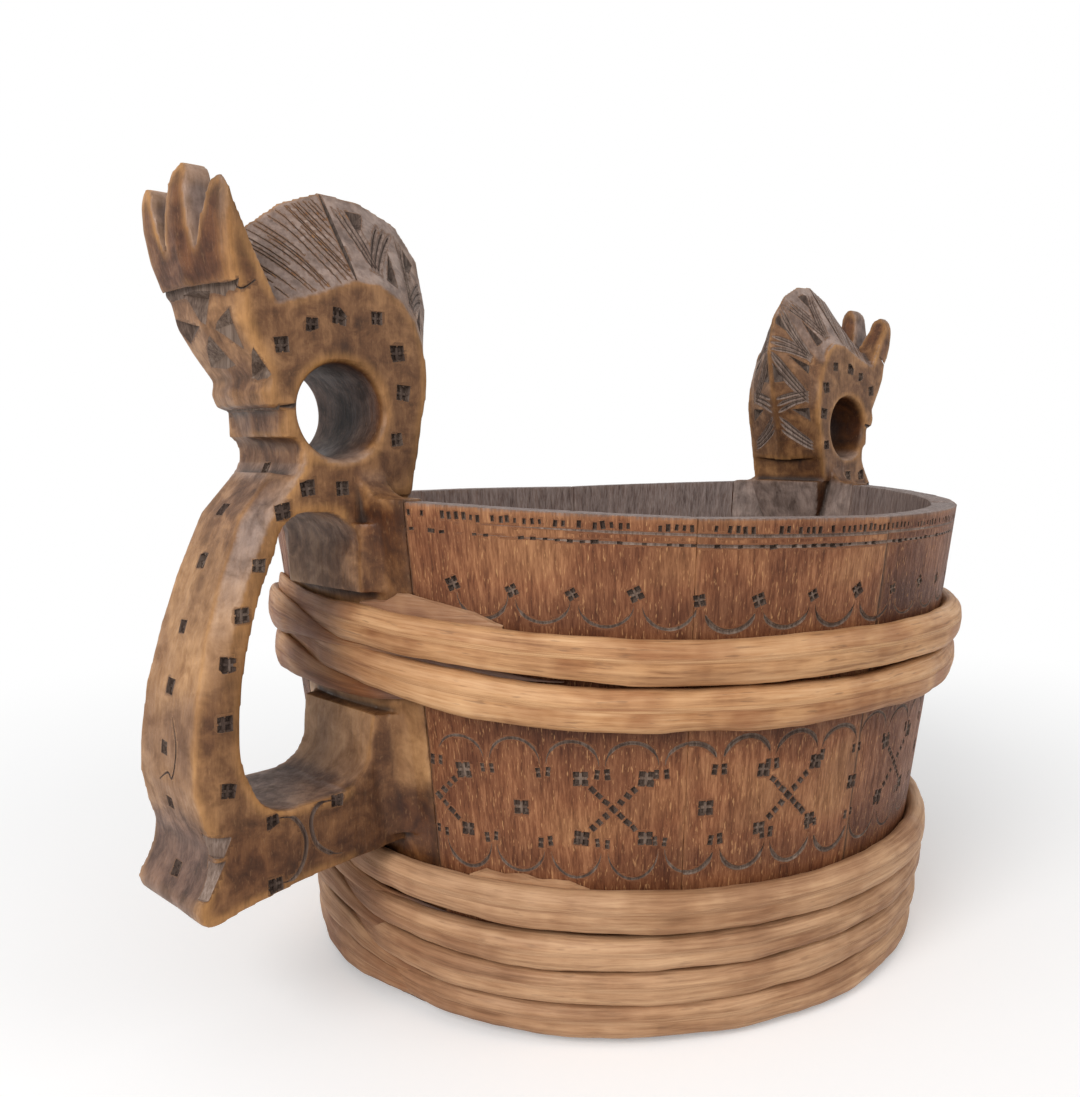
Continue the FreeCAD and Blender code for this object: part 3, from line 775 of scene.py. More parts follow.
for side, mirror in (("front", 0), ("back", 1)):
    cutters = ornamentCutters(mirror)
    for number in range(1, 5):
        makeStave("%s_stave_%d" % (side, number), number + 4 * mirror, cutters)
    print(side, "staves carved")


# the two handle staves: punched marks, chip-carved heads and grooved necks

handleForm = {
    "scales": (0.94, 0.97, 0.92, 0.95, 0.9, 0.88, 0.86, 0.985), "voxel": 0.85, "smoothing": 3,
    "waves": ((0.02, 0.00018, 8), (0.006, 0.00006, 9)), "wearSteps": 20, "wearFull": 0.0006,
    "halfThick": 17.5, "crease": 0.5}
# marks on the flat sides, each a distance from the bowl's axis and a height, mm
sideMarks = [(130.5, 179.5), (122.5, 185.0), (115.0, 187.5), (104.3, 188.0), (98.2, 179.6), (96.8, 169.4),
             (98.9, 157.4), (124.6, 145.2), (115.0, 145.0), (131.3, 139.8), (137.8, 127.2), (142.3, 115.7),
             (146.1, 104.3), (147.2, 90.5), (146.8, 74.2), (136.0, 64.2), (118.2, 65.5), (135.6, 48.0)]
outerMarks = [52.0, 68.9, 82.8, 97.5, 111.7, 127.4, 139.8, 149.7]  # heights down the back of the grip
# triangular chips on the forehead: three corners and the deepest place, each across and height
foreheadChips = [((9.5, 192.4), (-7.3, 192.1), (-1.7, 184.4), (-1.6, 190.1)),
                 ((15.5, 187.0), (1.8, 184.2), (13.0, 181.0), (9.1, 185.1)),
                 ((-12.4, 187.7), (-4.6, 183.1), (-12.4, 178.3), (-11.6, 183.7)),
                 ((-1.0, 181.9), (9.4, 175.2), (-5.0, 175.0), (-3.6, 177.7)),
                 ((-15.9, 178.4), (-9.2, 171.8), (-16.9, 172.4), (-14.6, 173.6))]
chipDepth = 2.6
# the undercuts below the crown and the muzzle: height, reach above and below, depth, and the tip's rise
edgeNotches = ((193.0, 0.2, 2.6, 1.6, 0.3), (164.6, 0.15, 0.9, 0.9, 0.1))
# the chip at the end of the lip and its tip, and the muzzle's line: distance, across and height
lipChip = [(143.2, 14.6, 193.0), (136.4, 17.5, 193.9), (140.6, 17.4, 190.6), (139.6, 15.9, 192.6)]
muzzleLine = [(131.4, 17.5, 165.0), (126.6, 17.5, 165.9)]
# curved lines on the flat side of the lower arm, each place a distance and a height
armLines = [((135.2, 64.8), (130.2, 63.5), (127.3, 57.7), (128.3, 51.7), (131.1, 48.4), (134.8, 48.2)),
            ((118.2, 65.5), (123.3, 65.7), (125.8, 61.9), (124.6, 55.9), (120.8, 52.3), (117.1, 51.2))]
gripCrack = [(-2.3, 90.5), (-5.9, 84.5), (-5.2, 79.5), (-3.4, 75.9), (-1.2, 77.0), (3.6, 74.4)]
# slices off the foot's corners: distance, across and height of each corner
footFacets = [((151.7, 13.2, 64.4), (146.2, 18.0, 63.0), (148.4, 18.0, 58.6), (151.0, 13.4, 58.8)),
              ((151.2, 12.8, 57.6), (148.0, 18.0, 57.6), (152.4, 18.0, 49.2), (154.6, 13.0, 49.2))]
# the neck: its side edge and its ridge, from the head to the bowl
neckEdge = [(133.0, 188.4), (120.4, 192.3), (110.1, 196.5), (103.6, 196.2), (97.6, 192.6), (93.6, 187.4),
            (91.4, 181.6), (90.6, 171.6), (91.8, 161.6), (93.4, 152.0)]
neckRidge = [(134.0, 207.0), (121.4, 216.6), (110.6, 221.0), (99.6, 220.6), (88.4, 216.0), (81.4, 207.4),
             (78.6, 194.0), (81.6, 177.0), (85.6, 163.0), (88.6, 151.0)]

# cuts on the neck, placed by station (the number of a place above) and by how far across
neckForm = {
    "scratches": 30, "firstScratch": -0.85, "scratchPitch": 0.095, "scratchJitter": 0.038,
    "scratchEnd": 1.95, "leastScratch": 0.15, "ridge": 2.05, "flutes": 7, "firstFlute": 2.2,
    "flutePitch": 0.9, "strands": (0.0, 0.2, 0.4), "fluteLift": 0.5, "seamLift": -0.42,
    "chips": 6, "firstChip": 2.85, "chipReach": 0.24, "chipMiddle": 0.46, "chipDepth": 1.3, "seed": 17}
# half widths of the cuts, mm, the grey beside the neck's cuts, and the punched marks' draws
handleCuts = {"scratch": 0.2, "ridge": 0.6, "flute": 1.05, "seam": 0.24, "arc": 0.9, "arcSeam": 0.28,
              "crack": 0.3, "arcLift": 0.66, "neckGrey": 0.85, "markSeed": 41, "markWobble": 0.14}


def settle(tree, x, y, z):  # the nearest place on the carved surface
    return tree.find_nearest(toPoint(x, y, z))[:2]


def alongNeck(points, station):
    low = min(int(station), len(points) - 2)
    part = station - low
    return [a + (b - a) * part for a, b in zip(points[low], points[low + 1])]


def neckPlace(tree, hand, side, station, across):  # across goes from 0 on the ridge to 1 on the side edge
    edge, ridge = alongNeck(neckEdge, station), alongNeck(neckRidge, station)
    reach = ridge[0] + (edge[0] - ridge[0]) * across
    height = ridge[1] + (edge[1] - ridge[1]) * across
    return settle(tree, hand * reach, side * handleForm["halfThick"] * across, height)


def neckLine(tree, hand, side, start, end, lift=0.0, points=9):
    line = []
    for i in range(points):
        part = i / (points - 1)
        station = start[0] + (end[0] - start[0]) * part
        place, facing = neckPlace(tree, hand, side, station, start[1] + (end[1] - start[1]) * part)
        line.append(place + facing * lift * mm)
    return line


def chip(shape, corners, tip):  # a pit whose three slopes meet at its tip
    wide = 1.35
    top = [shape.verts.new(tip + (corner - tip) * wide) for corner in corners]
    low = shape.verts.new(tip)
    shape.faces.new(top)
    for i in range(3):
        shape.faces.new((top[(i + 1) % 3], top[i], low))
    bmesh.ops.recalc_face_normals(shape, faces=shape.faces)


def onOuterFace(tree, hand, across, height):  # the place on the handle's back, seen from outside
    start = toPoint(hand * 200, across, height)
    place, facing, index, distance = tree.ray_cast(start, Vector((-hand, 0, 0)))
    if place is None:
        place, facing = settle(tree, hand * 140, across, height)
    return place, facing


def smoothLine(points, steps=5):  # a curve through the points
    line = []
    padded = [points[0], *points, points[-1]]
    for a, b, c, d in zip(padded, padded[1:], padded[2:], padded[3:]):
        for i in range(steps):
            t = i / steps
            line.append(tuple(0.5 * (2 * q + (r - p) * t + (2 * p - 5 * q + 4 * r - s) * t ** 2
                                     + (3 * q - p - 3 * r + s) * t ** 3) for p, q, r, s in zip(a, b, c, d)))
    return [*line, points[-1]]


def tilted(facing, chance, amount=0.16):  # a blow that is never quite square to the wood
    return (facing + Vector([chance.uniform(-amount, amount) for axis in range(3)])).normalized()


def markSpots(tree, hand):  # punched marks on the flat sides and down the back of the grip
    spots = []
    chance = random.Random(5)
    for side in (-1, 1):
        for reach, height in sideMarks:
            place, facing = settle(tree, hand * reach, side * handleForm["halfThick"], height)
            facing = tilted(facing, chance)
            spots.append((place, facing, Vector((1, 0, chance.uniform(-0.14, 0.14))), 1.0))
    chance = random.Random(6)
    for height in outerMarks:
        place, facing = onOuterFace(tree, hand, 0.6, height)
        facing = tilted(facing, chance)
        spots.append((place, facing, Vector((0, 1, chance.uniform(-0.12, 0.12))), 0.95))
    return spots


def foreheadCutter(tree, hand):
    shape = bmesh.new()
    for *corners, deepest in foreheadChips:
        places = [onOuterFace(tree, hand, *corner)[0] for corner in corners]
        middle, facing = onOuterFace(tree, hand, *deepest)
        chip(shape, places, middle - facing * chipDepth * mm)
    return meshOf(shape, "foreheadChips", chipWood)


def edgeCutter(tree, hand):  # the undercuts below the crown and the muzzle
    shape = bmesh.new()
    overhang = Vector((0, 2.5 * mm, 0))
    for height, above, below, depth, under in edgeNotches:
        spots = [onOuterFace(tree, hand, across, height) for across in range(-16, 17, 4)]
        (first, facing), (last, lastFacing) = spots[0], spots[-1]
        spots = [(first - overhang, facing), *spots, (last + overhang, lastFacing)]
        notch(shape, spots, above, below, depth, under)
    return meshOf(shape, "edges", chipWood)


def sideNotches(tree, hand):  # on the flat sides, under the crown and the muzzle
    shape = bmesh.new()
    for side in (-1, 1):
        *corners, tip = [toPoint(hand * reach, side * across, height) for reach, across, height in lipChip]
        chip(shape, corners, tip)
        spots = [settle(tree, hand * reach, side * across, height) for reach, across, height in muzzleLine]
        notch(shape, spots, 0.1, 0.5, 0.7)
    return meshOf(shape, "sideNotches", pitWood)


def footCutter(hand):
    shape = bmesh.new()
    for corners in footFacets:
        places = [toPoint(hand * reach, -across, height) for reach, across, height in corners]
        facet(shape, places, Vector((hand * 0.7, -0.7, 0)))
    return meshOf(shape, "footFacets", rimWood)


def neckGrooves(tree, hand):  # slanting scratches towards the head, zigzag flutes down the rest of the neck
    f = neckForm
    chance = random.Random(f["seed"])
    stray = f["scratchJitter"]
    scratches, ridges = [], []
    flutes, seams = [[] for part in range(6)], [[] for part in range(6)]  # lines that meet are cut in turn
    for side in (-1, 1):
        for i in range(f["scratches"]):
            start = f["firstScratch"] + i * f["scratchPitch"] + chance.uniform(-stray, stray)
            low = max(0.05, -start) + chance.choice((0.0, 0.0, 0.25)) * chance.random()
            high = min(0.96, f["scratchEnd"] - start) - chance.choice((0.0, 0.0, 0.4)) * chance.random()
            if high > low + f["leastScratch"] and chance.random() < 0.86:
                scratches.append(neckLine(tree, hand, side, (start + low, low), (start + high, high)))
        for i in range(f["flutes"]):
            low, high = [f["firstFlute"] + j * f["flutePitch"] for j in (i, i + 1)]
            way = -1 if i % 2 else 1
            for j, shift in enumerate(f["strands"]):
                first, last = (low, high)[::way]
                start, end = (first + way * shift, 0.1), (last + way * shift * 0.6, 0.9)
                for group, lift in ((flutes, f["fluteLift"]), (seams, f["seamLift"])):
                    group[i % 2 * 3 + j].append(neckLine(tree, hand, side, start, end, lift))
        ridges.append(neckLine(tree, hand, side, (f["ridge"], 0.02), (f["ridge"], 0.98)))
    return scratches, flutes, seams, ridges


def neckChips(tree, hand):
    f = neckForm
    shape = bmesh.new()
    for side in (-1, 1):
        for i in range(f["chips"]):
            middle = f["firstChip"] + i * f["flutePitch"]
            wide, inner = 0.84 if i % 2 else 0.16, f["chipMiddle"]
            spots = [(middle - f["chipReach"], wide), (middle + f["chipReach"], wide), (middle, inner)]
            places = [neckPlace(tree, hand, side, *spot)[0] for spot in spots]
            deep, facing = neckPlace(tree, hand, side, middle, wide + (inner - wide) * 0.3)
            chip(shape, places, deep - facing * f["chipDepth"] * mm)
    return meshOf(shape, "neckChips", pitWood)


def armArcs(tree, hand, lift):
    lines = []
    for side in (-1, 1):
        for points in armLines:
            spots = [settle(tree, hand * reach, side * handleForm["halfThick"], height)
                     for reach, height in smoothLine(points)]
            lines.append([place + facing * lift * mm for place, facing in spots])
    return lines


# heights in mm, and on the loop also reaches, between which a part of the handle has its own tint: painted
# light on the grip and brow, painted shade on the block, and on the chamfer and throat a grey that is partly
# a painted sky reflection
handleBands = {"chamfer": (96, 138, 150, 156), "throat": (146, 150, 153, 156), "loop": (60, 66, 136, 142),
               "loopReach": (112, 116, 144, 150), "grip": (60, 72, 112, 150), "brow": (166, 172, 189, 193),
               "block": (114, 118, 138, 142)}
# the hole through the neck; its inside is darkened with painted shade
neckHole = {"reach": 114.4, "height": 164.3, "edge": (11.5, 13)}


def paintHandle(mesh, hand):  # where it is grey (partly a painted sky reflection on the chamfer and upturned facets), dark (painted shade in the opening and the neck's hole, and a darker arm and crown), golden (painted light on the outward faces) and worn; reaches and heights in mm
    places, normals = getPlaces(mesh) / mm, getNormals(mesh)
    bands, hole = handleBands, neckHole
    reach, height = places[:, 0] * hand, places[:, 2]
    out, sideways = normals[:, 0] * hand, np.abs(normals[:, 1])
    slant = band(sideways, 0.3, 0.5, 0.88, 0.96)
    # grey on the chamfer and on the upturned faces of the neck and throat: partly a painted sky reflection,
    # partly grey cut wood
    chamfer = slant * softStep(out, 0.3, 0.5) * band(height, *bands["chamfer"]) * (reach > 118)
    neck = softStep(normals[:, 2], 0.25, 0.5) * slant * softStep(height, 186, 192) * (reach < 137)
    throat = band(height, *bands["throat"]) * softStep(normals[:, 2], 0.2, 0.6)
    inside = softStep(-out, 0.3, 0.8) * softStep(145 - height, 0, 4) * (reach < 112)
    faces = softStep(out, 0.3, 0.7)
    foot = (1 - softStep(height, 58, 66)) * faces * 0.25 * (reach > 138)
    notched = softStep(height, 196, 200) * (reach > 137) * softStep(sideways, 0.3, 0.6)
    notched *= 1 - softStep(np.abs(places[:, 1]), 14.5, 16.5)
    # darker inside the hole through the neck, most on its upper wall: painted shade
    bore = 1 - softStep(np.hypot(reach - hole["reach"], height - hole["height"]), *hole["edge"])
    bore *= (1 - softStep(sideways, 0.5, 0.8)) * (softStep(height, 154, 166) + 0.25)
    loop = (1 - softStep(sideways, 0.4, 0.7)) * band(reach, *bands["loopReach"])
    loop *= band(height, *bands["loop"]) * (out < 0.3)
    greys = [chamfer * 0.6, neck * 0.9, throat * 0.6, inside * 0.95, foot, notched * 0.65, loop * 0.4]
    setAttribute(mesh, "grey", np.clip(np.maximum.reduce(greys), 0, 1))
    setAttribute(mesh, "rod", np.full(len(places), 3.3 if hand < 0 else 7.9))
    # golden on the outward faces of the grip and brow: painted light
    grip = softStep(out, 0.35, 0.72) * band(height, *bands["grip"])
    brow = softStep(out, 0.5, 0.8) * band(height, *bands["brow"])
    # darker on the block inside the opening, by the bowl: painted shade
    block = (1 - softStep(reach, 108, 114)) * band(height, *bands["block"])
    arm = (1 - softStep(height, 60, 70)) * (0.5 + faces * 0.3)
    crown = softStep(height, 188, 196) * softStep(reach, 135, 138)
    tone = grip * 0.9 - block - arm - crown * 0.85 - bore + brow * 0.3
    tone += 0.45 * waveField(places * mm, 0.016, 4) - 0.1
    setAttribute(mesh, "tone", np.clip(tone, -1, 1))
    wear = readValues(mesh, "wear")
    setAttribute(mesh, "wear", wear * (1 - softStep(115 - reach, 0, 3) * softStep(146 - height, 0, 4) * 0.9))


handleBed = makeStamp("handleBed", 1, 1, 0, 1.5, 1.5, 0.62, 0.9)
handlePits = makeStamp("handlePits", 2, 2, 1.86, 0.86, 0.9, 1.15, 0.45)


def makeHandle(hand, name):
    mesh = carvableCopy(name, handleForm)
    markWearAndHollowShade(mesh, handleForm["wearSteps"], handleForm["wearFull"])
    paintHandle(mesh, hand)
    tree = BVHTree.FromPolygons([v.co for v in mesh.vertices], [f.vertices[:] for f in mesh.polygons])
    scratches, flutes, seams, ridges = neckGrooves(tree, hand)
    marks = markSpots(tree, hand)
    cut = handleCuts
    neck = [grooved(scratches, cut["scratch"], pitWood), grooved(ridges, cut["ridge"], pitWood),
            *[grooved(lines, cut["flute"], rimWood, 12) for lines in flutes],
            *[grooved(lines, cut["seam"], pitWood) for lines in seams], neckChips(tree, hand)]
    for cutter in neck:  # so that the wood beside a cut on the neck stays grey
        setAttribute(cutter, "grey", np.full(len(cutter.vertices), cut["neckGrey"]))
    cutters = [edgeCutter(tree, hand), sideNotches(tree, hand), footCutter(hand), foreheadCutter(tree, hand),
               *neck, grooved(armArcs(tree, hand, cut["arcLift"]), cut["arc"], chipWood, 10),
               grooved(armArcs(tree, hand, 0.0), cut["arcSeam"], pitWood),
               *[stamped(marks, stamp, pitWood, cut["markSeed"], cut["markWobble"])
                 for stamp in (handleBed, handlePits)]]
    if hand < 0:
        crack = [onOuterFace(tree, hand, *spot)[0] for spot in smoothLine(gripCrack)]
        cutters.append(grooved([crack], cut["crack"], pitWood))
    mesh = carve(mesh, cutters, handleWood)
    return finishPiece(mesh, "carved_" + name, "handle_wood", name, handleForm["crease"])


makeHandle(-1, "handle_stave_left")
makeHandle(1, "handle_stave_right")
print("handles carved")


# the hoops: split withy rods, each wound once round the bowl with thinned ends that cross

hoopForm = {
    "steps": 620, "around": 28, "thick": 3.35, "seat": 0.15, "startThin": 0.3, "startFlat": 0.8,
    "tailThin": 0.55, "endThin": 0.4, "wave": 2.0, "ridge": 0.0010, "lump": 0.0013, "crease": 0.9,
    # where each change begins and ends, in degrees from the first end or past the full turn
    "rise": (-45.0, 12.0), "fall": (12.0, 34.0), "startThinner": (8.0, 45.0), "tailThinner": (-30.0, 0.0),
    "startFlatter": (0.0, 60.0), "tailFlatter": (4.0, 32.0), "bulgeUp": (-25.0, 0.0),
    "bulgeDown": (18.0, 38.0), "tipLength": 14.0, "tipFlat": 0.12, "squareness": 0.85,
    "wearSteps": 10, "wearFull": 0.0003, "lapOver": (15, 65), "lapFrom": (330, 362), "lapDark": 0.65,
    "greyFrom": (390, 402), "tailGrey": 0.75}
# inputs of the hoop tree: counts, lengths in mm, and degrees and shares
hoopCounts = ["steps", "around"]
hoopLengths = "middle half thick radius lift tailLift tailDrop endDrop bulge wave".split()
hoopShares = "start lap slope fade startThin startFlat tailThin tailFlat endThin ridge lump seed".split()


def makeHoopTree():
    f = hoopForm
    sockets = {**dict.fromkeys(hoopCounts, "Int"), **dict.fromkeys(hoopLengths + hoopShares, "Float")}
    tree, given = newTree("hoop", {**sockets, "Material": "Material"})

    def less(value):
        return times(tree, value, -1.0)

    def point(x, y, z):
        return made(tree, "ShaderNodeCombineXYZ", {0: x, 1: y, 2: z})

    def kept(geometry, name, value, kind="FLOAT"):  # the geometry with a value stored on it
        inputs = {"Geometry": geometry, "Name": name, "Value": value}
        return made(tree, "GeometryNodeStoreNamedAttribute", inputs, data_type=kind)

    def moved(geometry, way, value):
        return made(tree, "GeometryNodeSetPosition", {"Geometry": geometry, way: value})

    def noiseAt(place, scale, detail):
        return made(tree, "ShaderNodeTexNoise", {"Vector": place, "Scale": scale, "Detail": detail})

    def fromMiddle(value, amount):
        return times(tree, maths(tree, "SUBTRACT", value, 0.5), amount)

    line = made(tree, "GeometryNodeMeshLine", {"Count": given["steps"]})
    index = made(tree, "GeometryNodeInputIndex")
    here = made(tree, "GeometryNodeInputPosition")
    part = maths(tree, "DIVIDE", index, maths(tree, "SUBTRACT", given["steps"], 1.0))
    travel = times(tree, part, plus(tree, given["lap"], 360.0))  # degrees from the first end
    tail = maths(tree, "SUBTRACT", travel, 360.0)
    angle = maths(tree, "RADIANS", plus(tree, given["start"], travel))
    cosine, sine = maths(tree, "COSINE", angle), maths(tree, "SINE", angle)
    circle = point(cosine, sine, given["seed"])
    sway = fromMiddle(noiseAt(circle, 1.6, 2.0), given["wave"])
    lift = ease(tree, travel, 0.0, given["fade"], given["lift"], 0.0)
    rise = ease(tree, tail, *f["rise"], 0.0, given["tailLift"])
    fall = ease(tree, tail, *f["fall"], 0.0, less(plus(tree, given["tailLift"], given["tailDrop"])))
    sink = ease(tree, tail, f["fall"][1], given["lap"], 0.0, less(given["endDrop"]))
    height = plus(tree, given["middle"], lift, rise, fall, sink, sway)
    girth = ease(tree, noiseAt(circle, 3.1, 3.0), 0.25, 0.75, 0.94, 1.05)
    tipFrom = maths(tree, "SUBTRACT", given["lap"], f["tipLength"])
    thinOut = times(tree, girth, ease(tree, travel, *f["startThinner"], given["startThin"], 1.0),
                    ease(tree, tail, *f["tailThinner"], 1.0, given["tailThin"]),
                    ease(tree, tail, 10.0, given["lap"], 1.0, given["endThin"]))
    thinUp = times(tree, girth, ease(tree, travel, *f["startFlatter"], given["startFlat"], 1.0),
                   ease(tree, tail, *f["tailFlatter"], 1.0, given["tailFlat"]),
                   ease(tree, tail, tipFrom, given["lap"], 1.0, f["tipFlat"]))
    bulge = plus(tree, ease(tree, tail, *f["bulgeUp"], 0.0, given["bulge"]),
                 ease(tree, tail, *f["bulgeDown"], 0.0, less(given["bulge"])))
    radius = plus(tree, given["radius"], times(tree, height, given["slope"]),
                  times(tree, given["thick"], thinOut), bulge)
    core = point(times(tree, radius, cosine), times(tree, radius, sine), height)
    line = moved(line, "Position", core)
    line = kept(line, "along", times(tree, maths(tree, "RADIANS", travel), given["radius"]))
    line = kept(line, "core", here, "FLOAT_VECTOR")
    line = kept(line, "thin", point(thinOut, thinOut, thinUp), "FLOAT_VECTOR")
    line = kept(line, "travel", travel)
    path = made(tree, "GeometryNodeMeshToCurve", {0: line})
    path = made(tree, "GeometryNodeSetCurveNormal", {0: path}, mode="Z_UP")
    inputs = {"Resolution": given["around"], "Radius": 1.0}
    ring = made(tree, "GeometryNodeCurvePrimitiveCircle", inputs, mode="RADIUS")
    spot = addNode(tree, "ShaderNodeSeparateXYZ", {0: here}).outputs
    squared = [times(tree, maths(tree, "SIGN", spot[axis]),
                     maths(tree, "POWER", maths(tree, "ABSOLUTE", spot[axis]), f["squareness"]),
                     given[reach]) for axis, reach in ((0, "thick"), (1, "half"))]
    around = addNode(tree, "GeometryNodeSplineParameter").outputs["Factor"]
    ring = kept(ring, "around", times(tree, around, given["half"], 5.0))
    ring = moved(ring, "Position", point(*squared, 0.0))
    rod = made(tree, "GeometryNodeCurveToMesh", {"Curve": path, "Profile Curve": ring, "Fill Caps": True})
    middle, thin = namedValue(tree, "core", "FLOAT_VECTOR"), namedValue(tree, "thin", "FLOAT_VECTOR")
    inputs = {0: vectorMath(tree, "SUBTRACT", here, middle), 1: thin, 2: middle}
    shaped = made(tree, "ShaderNodeVectorMath", inputs, operation="MULTIPLY_ADD")
    rod = moved(rod, "Position", shaped)
    fibre = point(times(tree, namedValue(tree, "around"), 300.0),
                  times(tree, namedValue(tree, "along"), 20.0), given["seed"])
    swell = plus(tree, fromMiddle(noiseAt(fibre, 1.0, 4.0), given["ridge"]),
                 fromMiddle(noiseAt(here, 55.0, 2.0), given["lump"]))
    slim = addNode(tree, "ShaderNodeSeparateXYZ", {0: thin}).outputs[2]
    inputs = {0: made(tree, "GeometryNodeInputNormal"), "Scale": times(tree, swell, slim)}
    push = made(tree, "ShaderNodeVectorMath", inputs, operation="SCALE")
    closeTree(tree, moved(rod, "Offset", push), given["Material"])
    return tree


hoopTree = makeHoopTree()


def sliver(angles, heights, travel, thick, number, wood):  # a flat splinter, from its lower edge up
    shape = bmesh.new()
    rings = []
    for angle, (low, high) in zip(angles, heights):
        corners = ((low, 0.1), (high, 0.1), (high - 0.4, thick * 0.7), (low, thick))
        rings.append([shape.verts.new(onBowl(angle, height, out)) for height, out in corners])
    bridge(shape, rings)
    bmesh.ops.subdivide_edges(shape, edges=shape.edges, cuts=3, use_grid_fill=True)
    bmesh.ops.recalc_face_normals(shape, faces=shape.faces)
    mesh = meshOf(shape, "sliver", wood)
    places = getPlaces(mesh)
    setPlaces(mesh, places + getNormals(mesh) * waveField(places, 0.003, number)[:, None] * 0.00035)
    setAttribute(mesh, "along", np.arctan2(places[:, 1], places[:, 0]) * bowl["footRadius"] * mm)
    setAttribute(mesh, "around", places[:, 2])
    setAttribute(mesh, "travel", np.full(len(places), travel))
    return mesh


def makeHoop(hoop, number, wood, slot):
    form = {**hoopForm, **hoop, "radius": bowl["footRadius"] + hoopForm["seat"], "slope": bowlSlope,
            "half": hoop["tall"] / 2, "seed": 3.7 * number}
    values = {key: form[key] for key in hoopCounts + hoopShares}
    values.update({key: form[key] * mm for key in hoopLengths})
    mesh = grow(hoopTree, bpy.data.meshes.new("seed"), {**values, "Material": wood})
    if "sliver" in hoop:
        mesh = joined([mesh, sliver(*hoop["sliver"], 1.6, number, wood)])
    markWearAndHollowShade(mesh, form["wearSteps"], form["wearFull"])
    travel = readValues(mesh, "travel")
    lapped = np.maximum(1 - softStep(travel, *form["lapOver"]), softStep(travel, *form["lapFrom"]))
    setAttribute(mesh, "rod", np.full(len(travel), number * 1.7))
    drift = 0.5 * waveField(getPlaces(mesh), 0.03, number)
    setAttribute(mesh, "tone", hoop["tint"] - form["lapDark"] * lapped + drift)
    setAttribute(mesh, "grey", form["tailGrey"] * softStep(travel, *form["greyFrom"]))
    return finishPiece(mesh, "wound_" + hoop["node"], slot, hoop["node"], hoopForm["crease"])


# each hoop: its first end's angle and lap in degrees, then its middle height, height and moves, mm
common = {"start": -205.0, "tint": 0.0, "endDrop": 0.0}
upperHoops = [
    {**common, "node": "upper_hoop_2", "lap": 63.0, "middle": 103.7, "tall": 11.2, "lift": 8.6, "fade": 85.0,
     "tailLift": 3.5, "tailDrop": 0.3, "endDrop": 5.2, "tailFlat": 0.27, "bulge": 1.9,
     "sliver": ((-173, -168, -166, -164, -159, -154, -150),
                ((110, 115.5), (110, 116.4), (109, 118.4), (109, 118.7), (108, 116.9), (108, 115.0),
                 (108, 112.0)), 395.0)},
    {**common, "node": "upper_hoop_1", "lap": 44.0, "middle": 91.5, "tall": 11.0, "lift": 12.0, "fade": 72.0,
     "tailLift": 3.2, "tailDrop": 0.6, "tailFlat": 0.45, "bulge": 1.9}]
common = {**common, "tailLift": 1.5, "tailFlat": 0.4, "bulge": 1.6}
lowerHoops = [
    {**common, "node": "lower_hoop_4", "lap": 46.0, "middle": 36.8, "tall": 10.8, "lift": 6.0, "fade": 85.0,
     "tailDrop": 6.0, "tint": 0.05,
     "sliver": ((-158, -155, -152, -149, -146, -142, -139),
                ((38, 43.6), (38, 46.0), (38, 45.2), (38, 46.0), (38, 44.7), (37, 44.6),
                 (37, 42.4)), 340.0)},
    {**common, "node": "lower_hoop_3", "lap": 48.0, "middle": 26.0, "tall": 9.2, "lift": 4.5, "fade": 70.0,
     "tailDrop": 5.4, "tint": -0.1},
    {**common, "node": "lower_hoop_2", "start": -202.0, "lap": 50.0, "middle": 16.2, "tall": 9.2,
     "lift": 4.5, "fade": 66.0, "tailDrop": 5.2},
    {**common, "node": "lower_hoop_1", "start": -196.0, "lap": 50.0, "middle": 6.6, "tall": 9.6, "lift": 2.5,
     "fade": 60.0, "tailLift": 1.0, "tailDrop": 0.5, "tailFlat": 0.5, "bulge": 1.4}]
for hoops, first, wood, slot in ((upperHoops, 1, upperHoopWithy, "upper_hoop_withy"),
                                 (lowerHoops, 5, lowerHoopWithy, "lower_hoop_withy")):
    for number, hoop in enumerate(hoops, first):
        makeHoop(hoop, number, wood, slot)
print("hoops wound")


# the bottom board keeps its own mesh

def dress(node, wood):
    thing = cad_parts[node]
    thing.data.materials.clear()
    thing.data.materials.append(wood)


dress("bottom_board", boardWood)


# floor, light and camera

studio = {"floorColor": (0.86, 0.86, 0.86), "floorGlow": 0.24, "skyLight": 0.52, "fadeFrom": 0.16,
          "fadeTo": 0.55, "floorWide": 6.0, "aim": (0, 0, 0.1)}
lamps = {"key": ((-1.2, -0.4, 0.8), 0.8, 13.0), "fill": ((0.4, -1.2, 0.8), 1.0, 3.6)}  # place, size, power


def seenDirectly(tree):
    path = addNode(tree, "ShaderNodeLightPath").outputs
    return maths(tree, "MAXIMUM", path["Is Camera Ray"], path["Is Glossy Ray"])


